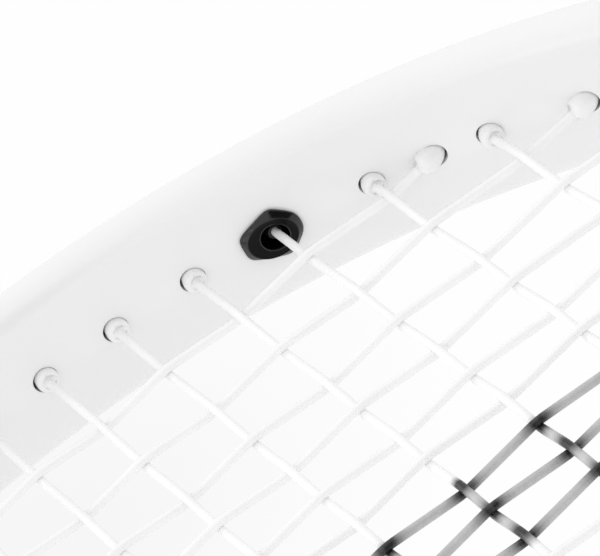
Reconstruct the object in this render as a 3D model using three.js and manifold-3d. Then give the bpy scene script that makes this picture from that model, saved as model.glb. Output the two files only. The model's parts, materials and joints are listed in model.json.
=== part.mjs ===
// Squash racket, built as the real one is: one moulded frame (head hoop, two throat arms and shaft),
// plastic grommet strips, two woven strings with press-in string locks, and a two-shell handle.
// Units are millimetres. +X runs from the butt end to the tip, +Y to the left, +Z square to the strings.
// The origin is the middle of the flat butt end, and the strings lie about the plane z = 0.

import * as THREE from "three";
import { mergeVertices } from "three/addons/utils/BufferGeometryUtils.js";
import Module from "manifold-3d";

const wasm = await Module();
wasm.setup();

// ---------------------------------------------------------------- driving dimensions
const TIP_X = 680.6; // middle of the tube wall at the tip
const WIDEST_X = 562; // where the head is widest
const THROAT_X = 321; // middle of the bridge that closes the head
const HEAD_HALF_WIDTH = 92.3; // middle of the tube wall at the widest place
const SIDE_HANDLE = 92; // how long the straight part of each side runs below the widest place
const THROAT_HALF = 52; // how far the bridge's curve reaches to each side

const BEAM_THICK = 7.2; // wall of the hoop, across the face
const BEAM_DEEP = 23; // wall of the hoop, square to the face
const BEAM_ROUND = 3.3; // rounding of its long edges
const INNER_CROWN = 0.25; // the inner wall bulges by this much

const CLEAR = 0.3; // gap between pieces that touch
const GROOVE_HALF = 3.5; // string groove round the outer wall
const GROOVE_DEEP = 3.2;
const GROOVE_REACH = 6.5; // how far the groove is cut through the roots of the arms
const STRIP_THICK = 1.0;

const BARREL_R = 2.0; // grommet barrels are small tubes through the frame
const BARREL_SIDES = 6;
const BARREL_BORE_R = 1.1;
const COLLAR = 0.6; // how far a barrel stands out of the inner wall
const BEND_OUT = 0.4; // a string leaves its barrel's line this far past its mouth

const LOCK_HEX_R = 4.2;
const LOCK_FACE_R = 3.5;
const LOCK_HEAD = 1.4;
const LOCK_SHANK_R = 2.7;
const LOCK_BORE_R = 2.0;
const LOCK_SIDES = 8;
const PLUG_R = 1.6;
const PLUG_BORE_R = 1.0;
const PLUG_LONG = 5.1;

const STRING_R = 0.55;
const STRING_SIDES = 4;
const WEAVE = 1.45; // a cross string passes this far above or below a main
const LANE = 1.5; // mains run on one side of the groove, crosses on the other
const LANE_LIFT = 0.25; // a string in the groove lies this far above its strip

// Main strings by distance from the middle line, outermost first; the other side mirrors them.
const MAIN_Y = [72.4, 60.6, 49.8, 41.2, 32.5, 25.4, 17.2, 10.4, 3.4];
// Cross strings from the tip down.
const TOP_CROSS_X = [648.9, 634.4, 619.8];
const LOWER_CROSS_X = [
  607, 595, 583.4, 572.4, 562.2, 551.7, 540.2, 527.2, 512.7, 496.7, 478.7, 458.7, 430, 396.5,
];

const ARM_THICK = 7.0;
const ARM_DEEP = 22.4;
const SHAFT_WIDE = 17;
const SHAFT_DEEP = 21;
const SHAFT_TOP_X = 272;
const SHAFT_END_X = 8;
const SHAFT_ROUND = 4;
const SHAFT_BORE_WIDE = 9;
const SHAFT_BORE_DEEP = 11;
const SHAFT_BORE_LONG = 52;

const HANDLE_FLATTEN = 0.88; // handle width over its depth
const HANDLE_SIDES = 8;
const PALLET_R = 14.2; // to the corners of the eight-sided handle
const PALLET_END_X = 190;
const PALLET_START_X = 8;
const SKIRT_THICK = 1.3; // butt cap skirt over the pallets
const SKIRT_END_X = 27;
const BUTT_LIP = 1.4; // butt cap stands this far out of the grip
const BUTT_WEB_X = 6.5; // inside face of the butt cap's end wall
const DISC_R = 7.5;
const DISC_THICK = 2.6;
const SLEEVE_START_X = 12;
const SLEEVE_END_X = 187;
const SLEEVE_WALL = 2.45; // wrapped grip over the pallets
const SLEEVE_FLARE = 0.6; // the wrap thickens towards the butt
const TAPE_X = [174, 185];
const TAPE_THICK = 0.7;
const TAPE_SINK = 0.4; // the tape presses the wrap in by this much
const COLLAR_END_X = 216;

const FRAME_WHITE = 0xf1f2f2;
const TRIM_WHITE = 0xececea;
const STRING_WHITE = 0xf4f4f1;
const LOCK_BLACK = 0x141416;

// ---------------------------------------------------------------- solids
function solidOf(geometry) {
  const bare = geometry.index ? geometry.toNonIndexed() : geometry.clone();
  bare.deleteAttribute("normal");
  bare.deleteAttribute("uv");
  const merged = mergeVertices(bare, 1e-4);
  const vertProperties = new Float32Array(merged.attributes.position.array);
  const triVerts = new Uint32Array(merged.index.array);
  return new wasm.Manifold(new wasm.Mesh({ numProp: 3, vertProperties, triVerts }));
}

function geometryOf(solid) {
  const mesh = solid.getMesh();
  const geometry = new THREE.BufferGeometry();
  geometry.setAttribute("position", new THREE.BufferAttribute(new Float32Array(mesh.vertProperties), 3));
  geometry.setIndex(new THREE.BufferAttribute(new Uint32Array(mesh.triVerts), 1));
  geometry.computeVertexNormals();
  return geometry;
}

function joined(solids) {
  return solids.reduce((sum, solid) => sum.add(solid));
}

function without(solid, cuts) {
  return cuts.reduce((rest, cut) => rest.subtract(cut), solid);
}

const group = new THREE.Group();

function addNode(name, solid, color, roughness, metalness = 0) {
  const material = new THREE.MeshStandardMaterial({ color, roughness, metalness });
  const mesh = new THREE.Mesh(geometryOf(solid), material);
  mesh.name = name;
  group.add(mesh);
}

// ---------------------------------------------------------------- the line of the hoop
// One half of the head, from the bridge round the left side to the tip.
class HoopHalf extends THREE.Curve {
  constructor() {
    super();
    this.arcLengthDivisions = 800;
    this.side = new THREE.CubicBezierCurve3(
      new THREE.Vector3(THROAT_X, 0, 0),
      new THREE.Vector3(THROAT_X, THROAT_HALF, 0),
      new THREE.Vector3(WIDEST_X - SIDE_HANDLE, HEAD_HALF_WIDTH, 0),
      new THREE.Vector3(WIDEST_X, HEAD_HALF_WIDTH, 0),
    );
  }

  getPoint(t, target = new THREE.Vector3()) {
    if (t <= 0.5) {
      return this.side.getPoint(2 * t, target);
    }
    const angle = Math.PI * (1 - t);
    const x = WIDEST_X + (TIP_X - WIDEST_X) * Math.cos(angle);
    return target.set(x, HEAD_HALF_WIDTH * Math.sin(angle), 0);
  }

  getTangent(t, target = new THREE.Vector3()) {
    if (t === 0) {
      return target.set(0, 1, 0);
    }
    if (t <= 0.5) {
      return this.side.getTangent(2 * t, target);
    }
    const angle = Math.PI * (1 - t);
    target.set((TIP_X - WIDEST_X) * Math.sin(angle), -HEAD_HALF_WIDTH * Math.cos(angle), 0);
    return target.normalize();
  }
}

const hoopHalf = new HoopHalf();
const HALF_LENGTH = hoopHalf.getLength();

// s runs 0 to 1 up the left side and 1 to 2 down the right side.
function hoopFrame(s) {
  const turn = ((s % 2) + 2) % 2;
  const mirrored = turn > 1;
  const u = mirrored ? 2 - turn : turn;
  const point = hoopHalf.getPointAt(u);
  const along = hoopHalf.getTangentAt(u);
  if (mirrored) {
    point.y = -point.y;
    along.x = -along.x;
  }
  const out = new THREE.Vector3(-along.y, along.x, 0);
  return { point, along, out };
}

// A place beside the hoop's middle line: n outwards and z up.
function hoopPlace(s, n, z = 0) {
  const { point, out } = hoopFrame(s);
  return point.clone().addScaledVector(out, n).setZ(z);
}

// A curve that visits listed places exactly, one per sweep station.
class ListedPath extends THREE.Curve {
  constructor(points, tangents) {
    super();
    this.points = points;
    this.tangents = tangents;
  }

  getPointAt(u, target = new THREE.Vector3()) {
    return target.copy(this.points[Math.round(u * (this.points.length - 1))]);
  }

  getTangentAt(u, target = new THREE.Vector3()) {
    return target.copy(this.tangents[Math.round(u * (this.points.length - 1))]);
  }
}

function sweep(outline, points, tangents) {
  const options = {
    steps: points.length - 1,
    bevelEnabled: false,
    extrudePath: new ListedPath(points, tangents),
  };
  return solidOf(new THREE.ExtrudeGeometry(new THREE.Shape(outline), options));
}

// Stations lie closer together where the bridge curves tightly.
const FINE_STEP = 6;
const FINE_REACH = 90;
const COARSE_STEP = 12;

function halfStations() {
  const fineCount = Math.round(FINE_REACH / FINE_STEP);
  const coarseCount = Math.round((HALF_LENGTH - FINE_REACH) / COARSE_STEP);
  const stations = [];
  for (let i = 0; i < fineCount; i += 1) {
    stations.push((i * FINE_REACH) / fineCount / HALF_LENGTH);
  }
  const fineEnd = FINE_REACH / HALF_LENGTH;
  for (let i = 0; i <= coarseCount; i += 1) {
    stations.push(fineEnd + ((1 - fineEnd) * i) / coarseCount);
  }
  return stations;
}

const LEFT_STATIONS = halfStations();
const RIGHT_STATIONS = LEFT_STATIONS.map((s) => 2 - s).reverse();
const ALL_STATIONS = [
  ...RIGHT_STATIONS.map((s) => s - 2).slice(0, -1),
  ...LEFT_STATIONS.slice(0, -1),
  ...RIGHT_STATIONS,
];

// The outline is listed as [z, n] pairs.
function sweepHoop(outline, stations) {
  const section = outline.map(([z, n]) => new THREE.Vector2(-z, n));
  const frames = stations.map(hoopFrame);
  return sweep(section, frames.map((f) => f.point), frames.map((f) => f.along));
}

function stationsBetween(s0, s1) {
  const margin = 1 / HALF_LENGTH;
  const inside = ALL_STATIONS.filter((s) => s > s0 + margin && s < s1 - margin);
  return [s0, ...inside, s1];
}

// ---------------------------------------------------------------- sections
const CORNER_STEPS = 2;

function roundedOutline(halfZ, halfN, round, crown) {
  const outline = [];
  const corners = [
    [halfZ - round, halfN - round, 0],
    [-(halfZ - round), halfN - round, 1],
    [-(halfZ - round), -(halfN - round), 2],
    [halfZ - round, -(halfN - round), 3],
  ];
  for (const [z, n, quarter] of corners) {
    for (let i = 0; i <= CORNER_STEPS; i += 1) {
      const angle = (Math.PI / 2) * (quarter + i / CORNER_STEPS);
      outline.push([z + round * Math.cos(angle), n + round * Math.sin(angle)]);
    }
    if (quarter === 2 && crown > 0) {
      outline.push([0, -halfN - crown]);
    }
  }
  return outline;
}

function roundedBox(width, depth, round) {
  return roundedOutline(depth / 2, width / 2, round, 0);
}

const WALL = BEAM_THICK / 2;
const GROOVE_FLOOR = WALL - GROOVE_DEEP;
const STRIP_IN = GROOVE_FLOOR + CLEAR;
const STRIP_OUT = STRIP_IN + STRIP_THICK;
const STRIP_HALF = GROOVE_HALF - CLEAR;
const LANE_N = STRIP_OUT + LANE_LIFT + STRING_R;
const BARREL_MOUTH = -(WALL + INNER_CROWN + COLLAR);
const MOUTH = BARREL_MOUTH - BEND_OUT;
const LOCK_SEAT = -(WALL + INNER_CROWN + CLEAR);
const LOCK_TOP = LOCK_SEAT - LOCK_HEAD;
const LOCK_MOUTH = LOCK_TOP - BEND_OUT;

// ---------------------------------------------------------------- where the strings meet the hoop
const WIDEST_S = 1 - new THREE.EllipseCurve(0, 0, TIP_X - WIDEST_X, HEAD_HALF_WIDTH, 0, Math.PI / 2)
  .getLength() / HALF_LENGTH;

function solveStation(low, high, rises) {
  let a = low;
  let b = high;
  for (let i = 0; i < 50; i += 1) {
    const middle = (a + b) / 2;
    if (rises(middle)) {
      b = middle;
    } else {
      a = middle;
    }
  }
  return (a + b) / 2;
}

function crossStation(x, mouth) {
  return solveStation(0, 1, (s) => hoopPlace(s, mouth).x > x);
}

function mainTipStation(y) {
  return solveStation(WIDEST_S, 1, (s) => hoopPlace(s, MOUTH).y < y);
}

function mainThroatStation(y) {
  return solveStation(0, WIDEST_S, (s) => hoopPlace(s, MOUTH).y > y);
}

const MAIN_COUNT = 2 * MAIN_Y.length;
const mains = [];
for (let k = 0; k < MAIN_COUNT; k += 1) {
  const left = k < MAIN_Y.length;
  const y = left ? MAIN_Y[k] : MAIN_Y[MAIN_COUNT - 1 - k];
  const tip = mainTipStation(y);
  const throat = mainThroatStation(y);
  mains.push({
    y: left ? y : -y,
    tip: left ? tip : 2 - tip,
    throat: left ? throat : -throat,
    tipX: hoopPlace(tip, MOUTH).x,
    throatX: hoopPlace(throat, MOUTH).x,
  });
}

// Each of the four string ends is held by a lock.
const crosses = [];
const TOP_COUNT = TOP_CROSS_X.length;
[...TOP_CROSS_X, ...LOWER_CROSS_X].forEach((x, i) => {
  const lastOne = i === TOP_CROSS_X.length + LOWER_CROSS_X.length - 1;
  const leftLock = i === TOP_COUNT || lastOne;
  const rightLock = i === 0 || i === TOP_COUNT - 1;
  crosses.push({
    x,
    index: i,
    leftLock,
    rightLock,
    left: crossStation(x, leftLock ? LOCK_MOUTH : MOUTH),
    right: 2 - crossStation(x, rightLock ? LOCK_MOUTH : MOUTH),
  });
});

const barrelStations = [];
for (const main of mains) {
  barrelStations.push(main.tip, (main.throat + 2) % 2);
}
for (const cross of crosses) {
  if (!cross.leftLock) {
    barrelStations.push(cross.left);
  }
  if (!cross.rightLock) {
    barrelStations.push(cross.right);
  }
}

// A lock stands clear of the next hole. Where the holes crowd it, it moves along the hoop.
const LOCK_ROOM = LOCK_HEX_R * Math.cos(Math.PI / 6) + BARREL_R + CLEAR;
const LOCK_NUDGE = 0.05;

function clearOfHoles(wanted) {
  const apart = (a, b) => hoopPlace(a, LOCK_TOP).distanceTo(hoopPlace(b, LOCK_TOP));
  const nearest = barrelStations.reduce((best, s) => (apart(s, wanted) < apart(best, wanted) ? s : best));
  let s = wanted;
  while (apart(s, nearest) < LOCK_ROOM) {
    s += (Math.sign(wanted - nearest) * LOCK_NUDGE) / HALF_LENGTH;
  }
  return s;
}

const lockStations = [];
for (const cross of crosses) {
  if (cross.leftLock) {
    cross.left = clearOfHoles(cross.left);
    lockStations.push(cross.left);
  }
  if (cross.rightLock) {
    cross.right = clearOfHoles(cross.right);
    lockStations.push(cross.right);
  }
}

// A round piece standing square to the hoop's wall at s, from n0 to n1.
function post(s, n0, n1, r0, r1, sides) {
  const { out } = hoopFrame(s);
  const upright = new THREE.Matrix4().makeBasis(
    new THREE.Vector3(out.y, -out.x, 0),
    out,
    new THREE.Vector3(0, 0, 1),
  );
  const geometry = new THREE.CylinderGeometry(r1, r0, n1 - n0, sides);
  geometry.applyMatrix4(upright);
  const centre = hoopPlace(s, (n0 + n1) / 2);
  geometry.translate(centre.x, centre.y, centre.z);
  return solidOf(geometry);
}

// ---------------------------------------------------------------- frame
function hoopSolid() {
  const wall = roundedOutline(BEAM_DEEP / 2, WALL, BEAM_ROUND, INNER_CROWN);
  return sweepHoop(wall, LEFT_STATIONS).add(sweepHoop(wall, RIGHT_STATIONS));
}

const ARM_LEAVES_S = 0.205;
const ARM_PULL = 46;
const ARM_STEPS = 12;
const ARM_END = new THREE.Vector3(258, 5.2, 0);
const ARM_END_PULL = 40;
const ARM_END_SPREAD = 3.2;

// An arm peels off the hoop's outer side and runs down into the shaft.
function armSolid(side) {
  const { point, along } = hoopFrame(ARM_LEAVES_S);
  const curve = new THREE.CubicBezierCurve3(
    point,
    point.clone().addScaledVector(along, -ARM_PULL),
    new THREE.Vector3(ARM_END.x + ARM_END_PULL, ARM_END.y + ARM_END_SPREAD, 0),
    ARM_END,
  );
  const points = curve.getSpacedPoints(ARM_STEPS);
  const tangents = points.map((_, i) => curve.getTangentAt(i / ARM_STEPS));
  for (const vector of [...points, ...tangents]) {
    vector.y *= side;
  }
  const section = roundedBox(ARM_THICK, ARM_DEEP, BEAM_ROUND);
  const outline = section.map(([z, n]) => new THREE.Vector2(-z, n));
  return sweep(outline, points, tangents);
}

function straightBar(section, x0, x1) {
  const outline = section.map(([z, y]) => new THREE.Vector2(-z, y));
  const points = [new THREE.Vector3(x0, 0, 0), new THREE.Vector3(x1, 0, 0)];
  const along = new THREE.Vector3(1, 0, 0);
  return sweep(outline, points, [along, along]);
}

const HOLE_CLEAR_R = CLEAR + 0.12; // flats of a six-sided hole keep the gap to the barrel's flats

function frameSolid() {
  const shaft = straightBar(roundedBox(SHAFT_WIDE, SHAFT_DEEP, SHAFT_ROUND), SHAFT_END_X, SHAFT_TOP_X);
  const body = joined([hoopSolid(), armSolid(1), armSolid(-1), shaft]);
  const groove = [
    [-GROOVE_HALF, GROOVE_FLOOR],
    [GROOVE_HALF, GROOVE_FLOOR],
    [GROOVE_HALF, GROOVE_FLOOR + GROOVE_REACH],
    [-GROOVE_HALF, GROOVE_FLOOR + GROOVE_REACH],
  ];
  const grooveCut = sweepHoop(groove, LEFT_STATIONS).add(sweepHoop(groove, RIGHT_STATIONS));
  const holes = barrelStations.map((s) =>
    post(s, MOUTH, GROOVE_FLOOR + 1, BARREL_R + HOLE_CLEAR_R, BARREL_R + HOLE_CLEAR_R, BARREL_SIDES));
  const lockHoles = lockStations.map((s) =>
    post(s, MOUTH, GROOVE_FLOOR + 1, LOCK_SHANK_R + HOLE_CLEAR_R, LOCK_SHANK_R + HOLE_CLEAR_R, LOCK_SIDES));
  const pocket = straightBar(
    roundedBox(SHAFT_BORE_WIDE, SHAFT_BORE_DEEP, 1.5),
    SHAFT_END_X - 1,
    SHAFT_END_X + SHAFT_BORE_LONG,
  );
  return without(body, [grooveCut, joined(holes), joined(lockHoles), pocket]);
}

// ---------------------------------------------------------------- grommet strips
const STRIP_SECTION = [
  [-STRIP_HALF, STRIP_IN],
  [STRIP_HALF, STRIP_IN],
  [STRIP_HALF, STRIP_OUT],
  [-STRIP_HALF, STRIP_OUT],
];

// The tip's strip rises out of the groove and folds over the hoop's outer face as a bumper.
const CHANNEL_HALF = 2.5;
const GUARD_HALF = 7.4;
const GUARD_IN = WALL + CLEAR;
const GUARD_THICK = 1.5;
const GUARD_LIP = 0.5;
const BUMPER_SECTION = [
  [STRIP_HALF, STRIP_IN],
  [STRIP_HALF, GUARD_IN],
  [GUARD_HALF, GUARD_IN],
  [GUARD_HALF - GUARD_LIP, GUARD_IN + GUARD_THICK],
  [CHANNEL_HALF + GUARD_LIP, GUARD_IN + GUARD_THICK],
  [CHANNEL_HALF, STRIP_OUT],
  [-CHANNEL_HALF, STRIP_OUT],
  [-CHANNEL_HALF - GUARD_LIP, GUARD_IN + GUARD_THICK],
  [-GUARD_HALF + GUARD_LIP, GUARD_IN + GUARD_THICK],
  [-GUARD_HALF, GUARD_IN],
  [-STRIP_HALF, GUARD_IN],
  [-STRIP_HALF, STRIP_IN],
];

// s may run below 0 for the strip that crosses the bridge's middle.
function holesBetween(s0, s1) {
  const folded = s0 < 0 ? barrelStations.map((s) => (s > 1 ? s - 2 : s)) : barrelStations;
  return folded.filter((s) => s > s0 && s < s1);
}

function stripSolid(section, s0, s1) {
  const stations = holesBetween(s0, s1);
  const barrels = stations.map((s) =>
    post(s, BARREL_MOUTH, STRIP_IN + STRIP_THICK / 2, BARREL_R, BARREL_R, BARREL_SIDES));
  const bores = stations.map((s) =>
    post(s, MOUTH, STRIP_OUT + 1, BARREL_BORE_R, BARREL_BORE_R, BARREL_SIDES));
  const band = sweepHoop(section, stationsBetween(s0, s1));
  return without(joined([band, ...barrels]), [joined(bores)]);
}

// A strip ends half way between the two holes on either side of the wanted place.
function splitNear(s) {
  const all = [...barrelStations, ...lockStations].sort((a, b) => a - b);
  const above = all.findIndex((place) => place > s);
  return (all[above - 1] + all[above]) / 2;
}

const BUMPER_SPLIT = splitNear(0.79);
const SIDE_SPLIT = splitNear(0.47);
const BRIDGE_SPLIT = splitNear(0.16);
const STRIP_GAP = 0.4 / HALF_LENGTH;

const strips = [
  ["grommet_strip_left", STRIP_SECTION, SIDE_SPLIT, BUMPER_SPLIT],
  ["grommet_strip_lower_left", STRIP_SECTION, BRIDGE_SPLIT, SIDE_SPLIT],
  ["grommet_strip_lower_right", STRIP_SECTION, 2 - SIDE_SPLIT, 2 - BRIDGE_SPLIT],
  ["grommet_strip_right", STRIP_SECTION, 2 - BUMPER_SPLIT, 2 - SIDE_SPLIT],
  ["grommet_strip_throat", STRIP_SECTION, -BRIDGE_SPLIT, BRIDGE_SPLIT],
  ["head_bumper", BUMPER_SECTION, BUMPER_SPLIT, 2 - BUMPER_SPLIT],
];

// ---------------------------------------------------------------- string locks
const LOCK_SOCKET_END = GROOVE_FLOOR - CLEAR;

function lockSocket(s) {
  const head = post(s, LOCK_TOP, LOCK_SEAT, LOCK_FACE_R, LOCK_HEX_R, 6);
  const shank = post(s, LOCK_SEAT - 0.2, LOCK_SOCKET_END, LOCK_SHANK_R, LOCK_SHANK_R, LOCK_SIDES);
  const bore = post(s, LOCK_TOP - 1, LOCK_SOCKET_END + 1, LOCK_BORE_R, LOCK_BORE_R, LOCK_SIDES);
  return head.add(shank).subtract(bore);
}

function lockPlug(s) {
  const start = LOCK_TOP + CLEAR;
  const plug = post(s, start, start + PLUG_LONG, PLUG_R, PLUG_R, LOCK_SIDES);
  const bore = post(s, start - 1, start + PLUG_LONG + 1, PLUG_BORE_R, PLUG_BORE_R, LOCK_SIDES);
  return plug.subtract(bore);
}

// ---------------------------------------------------------------- strings
const BEND_RUN = 1.1;
const LANE_RUN = 3.2;
const LANE_STEP = 6.5;
const END_N = -0.5; // a string's end stops here, inside its lock

// Along the groove from one hole to the next, on the wanted side of it.
function grooveRun(sA, sB, lane) {
  const direction = Math.sign(sB - sA);
  const perMm = direction / HALF_LENGTH;
  const lengthMm = Math.abs(sB - sA) * HALF_LENGTH;
  const spanMm = lengthMm - 2 * LANE_RUN;
  const count = Math.max(1, Math.round(spanMm / LANE_STEP));
  const points = [hoopPlace(sA, STRIP_OUT + 0.35)];
  points.push(hoopPlace(sA + BEND_RUN * perMm, LANE_N, (lane * LANE) / 2));
  for (let i = 0; i <= count; i += 1) {
    points.push(hoopPlace(sA + (LANE_RUN + (spanMm * i) / count) * perMm, LANE_N, lane * LANE));
  }
  points.push(hoopPlace(sB - BEND_RUN * perMm, LANE_N, (lane * LANE) / 2));
  points.push(hoopPlace(sB, STRIP_OUT + 0.35));
  return points;
}

function crossPlaces(cross) {
  const leftMouth = hoopPlace(cross.left, cross.leftLock ? LOCK_MOUTH : MOUTH);
  const rightMouth = hoopPlace(cross.right, cross.rightLock ? LOCK_MOUTH : MOUTH);
  const places = [leftMouth];
  mains.forEach((main, k) => {
    if (cross.x > main.throatX && cross.x < main.tipX) {
      const height = (k + cross.index) % 2 === 0 ? WEAVE : -WEAVE;
      places.push(new THREE.Vector3(cross.x, main.y, height));
    }
  });
  places.push(rightMouth);
  return places;
}

function mainPlaces(main) {
  return [hoopPlace(main.tip, MOUTH), hoopPlace(main.throat, MOUTH)];
}

// The mains' string: first the lowest top cross, then every main in turn, then the other top crosses.
function mainStringPlaces() {
  const firstCross = crosses[TOP_COUNT - 1];
  const runs = [[hoopPlace(firstCross.right, END_N)], crossPlaces(firstCross).reverse()];
  runs.push(grooveRun(firstCross.left, mains[0].tip, -1));
  mains.forEach((main, k) => {
    const places = mainPlaces(main);
    const towardThroat = k % 2 === 0;
    runs.push(towardThroat ? places : places.reverse());
    const next = mains[k + 1];
    if (next) {
      const run = towardThroat
        ? grooveRun(main.throat, next.throat, 1)
        : grooveRun(main.tip, next.tip, 1);
      runs.push(run);
    }
  });
  let from = mains[MAIN_COUNT - 1].tip;
  let fromRight = true;
  for (let i = TOP_COUNT - 2; i >= 0; i -= 1) {
    const cross = crosses[i];
    runs.push(grooveRun(from, fromRight ? cross.right : cross.left, -1));
    const places = crossPlaces(cross);
    runs.push(fromRight ? places.reverse() : places);
    from = fromRight ? cross.left : cross.right;
    fromRight = !fromRight;
  }
  runs.push([hoopPlace(from, END_N)]);
  return runs.flat();
}

function crossStringPlaces() {
  const lower = crosses.slice(TOP_COUNT);
  const runs = [[hoopPlace(lower[0].left, END_N)]];
  lower.forEach((cross, i) => {
    const places = crossPlaces(cross);
    const rightward = i % 2 === 0;
    runs.push(rightward ? places : places.reverse());
    const next = lower[i + 1];
    if (next) {
      const run = rightward
        ? grooveRun(cross.right, next.right, -1)
        : grooveRun(cross.left, next.left, -1);
      runs.push(run);
    }
  });
  const last = lower[lower.length - 1];
  runs.push([hoopPlace(last.left, END_N)]);
  return runs.flat();
}

function stringSolid(places) {
  const tangents = places.map((place, i) => {
    const before = places[Math.max(0, i - 1)];
    const after = places[Math.min(places.length - 1, i + 1)];
    const into = place.clone().sub(before).normalize();
    const outOf = after.clone().sub(place).normalize();
    return into.add(outOf).normalize();
  });
  const outline = [];
  for (let i = 0; i < STRING_SIDES; i += 1) {
    const angle = (2 * Math.PI * i) / STRING_SIDES;
    outline.push(new THREE.Vector2(STRING_R * Math.cos(angle), STRING_R * Math.sin(angle)));
  }
  return sweep(outline, places, tangents);
}

// ---------------------------------------------------------------- handle
// Eight-sided pieces of the handle share one shape: turned about +X and flattened across.
function turned(profile, sides = HANDLE_SIDES, flatten = HANDLE_FLATTEN) {
  const points = profile.map(([r, x]) => new THREE.Vector2(r, x));
  const geometry = new THREE.LatheGeometry(points, sides);
  geometry.rotateY(Math.PI / sides);
  geometry.applyMatrix4(new THREE.Matrix4().makeBasis(
    new THREE.Vector3(0, 0, 1),
    new THREE.Vector3(1, 0, 0),
    new THREE.Vector3(0, 1, 0),
  ));
  geometry.scale(1, flatten, 1);
  return solidOf(geometry);
}

function ring(innerR, outerR, x0, x1) {
  return turned([[innerR, x0], [outerR, x0], [outerR, x1], [innerR, x1], [innerR, x0]]);
}

function box(x, y, z, cx, cy, cz) {
  const geometry = new THREE.BoxGeometry(x, y, z);
  geometry.translate(cx, cy, cz);
  return solidOf(geometry);
}

const SKIRT_IN_R = PALLET_R + CLEAR + 0.05;
const SKIRT_R = SKIRT_IN_R + SKIRT_THICK;
const STAPLE_X = 20;
const STAPLE_WIDE = 9;
const STAPLE_WIRE = 0.9;
const STAPLE_LEG = 4;
const FLAT = Math.cos(Math.PI / HANDLE_SIDES);

function stapleSolid(side, grow) {
  const wire = STAPLE_WIRE + 2 * grow;
  const crownZ = SKIRT_R * FLAT + CLEAR + STAPLE_WIRE / 2;
  const crown = box(wire, STAPLE_WIDE + 2 * grow, wire, STAPLE_X, 0, side * crownZ);
  const legs = [-1, 1].map((hand) => {
    const legY = (hand * (STAPLE_WIDE - STAPLE_WIRE)) / 2;
    const legLong = STAPLE_LEG + 2 * grow;
    return box(wire, wire, legLong, STAPLE_X, legY, side * (crownZ - STAPLE_LEG / 2));
  });
  return joined([crown, ...legs]);
}

function palletSolid(side) {
  const whole = turned([
    [0, PALLET_START_X],
    [PALLET_R, PALLET_START_X],
    [PALLET_R, PALLET_END_X],
    [0, PALLET_END_X],
  ]);
  const half = box(
    PALLET_END_X, 4 * PALLET_R, 2 * PALLET_R,
    (PALLET_START_X + PALLET_END_X) / 2, 0, side * (PALLET_R + CLEAR / 2),
  );
  const seat = straightBar(
    roundedBox(SHAFT_WIDE + 2 * CLEAR, SHAFT_DEEP + 2 * CLEAR, SHAFT_ROUND),
    0,
    PALLET_END_X + 1,
  );
  return without(whole.intersect(half), [seat, stapleSolid(side, CLEAR)]);
}

const SLEEVE_IN_R = PALLET_R + CLEAR + 0.05;
const GRIP_R = SLEEVE_IN_R + SLEEVE_WALL;
const SLEEVE_R = GRIP_R + SLEEVE_FLARE;
const BUTT_R = SLEEVE_R + BUTT_LIP;

const BUTT_PROFILE = [
  [0, DISC_THICK + CLEAR],
  [DISC_R + CLEAR, DISC_THICK + CLEAR],
  [DISC_R + CLEAR, 0],
  [BUTT_R - 1.6, 0],
  [BUTT_R - 0.3, 1.6],
  [BUTT_R, 4],
  [BUTT_R - 0.6, 8],
  [SLEEVE_R, SLEEVE_START_X - CLEAR],
  [SKIRT_R, SLEEVE_START_X - CLEAR],
  [SKIRT_R, SKIRT_END_X],
  [SKIRT_IN_R, SKIRT_END_X],
  [SKIRT_IN_R, BUTT_WEB_X],
  [0, BUTT_WEB_X],
];

const SLEEVE_WIDE_R = SKIRT_R + CLEAR + (STAPLE_WIRE + CLEAR) / FLAT;
const SLEEVE_STEP_X = SKIRT_END_X + CLEAR;
const SLEEVE_BUTT_R = SLEEVE_R + 0.5;
const SLEEVE_PROFILE = [
  [SLEEVE_WIDE_R, SLEEVE_START_X],
  [SLEEVE_BUTT_R + 0.6, SLEEVE_START_X],
  [SLEEVE_BUTT_R, 19],
  [GRIP_R, 40],
  [GRIP_R, TAPE_X[0] - 1.5],
  [GRIP_R - TAPE_SINK, TAPE_X[0] - 0.5],
  [GRIP_R - TAPE_SINK, SLEEVE_END_X],
  [SLEEVE_IN_R, SLEEVE_END_X],
  [SLEEVE_IN_R, SLEEVE_STEP_X],
  [SLEEVE_WIDE_R, SLEEVE_STEP_X],
  [SLEEVE_WIDE_R, SLEEVE_START_X],
];

const TAPE_IN_R = GRIP_R - TAPE_SINK + CLEAR + 0.05;

// A rubber collar covers the step between the grip and the shaft.
function collarSolid() {
  const outside = turned([
    [0, SLEEVE_END_X + CLEAR],
    [SLEEVE_R - 0.2, SLEEVE_END_X + CLEAR],
    [SLEEVE_R - 0.8, SLEEVE_END_X + 8],
    [14.6, COLLAR_END_X - 6],
    [13.2, COLLAR_END_X],
    [0, COLLAR_END_X],
  ]);
  const overPallets = turned([
    [0, SLEEVE_END_X],
    [SLEEVE_IN_R, SLEEVE_END_X],
    [SLEEVE_IN_R, PALLET_END_X + CLEAR],
    [0, PALLET_END_X + CLEAR],
  ]);
  const shaftHole = straightBar(
    roundedBox(SHAFT_WIDE + 2 * CLEAR, SHAFT_DEEP + 2 * CLEAR, SHAFT_ROUND),
    SLEEVE_END_X - 1,
    COLLAR_END_X + 1,
  );
  return without(outside, [overPallets, shaftHole]);
}

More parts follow.
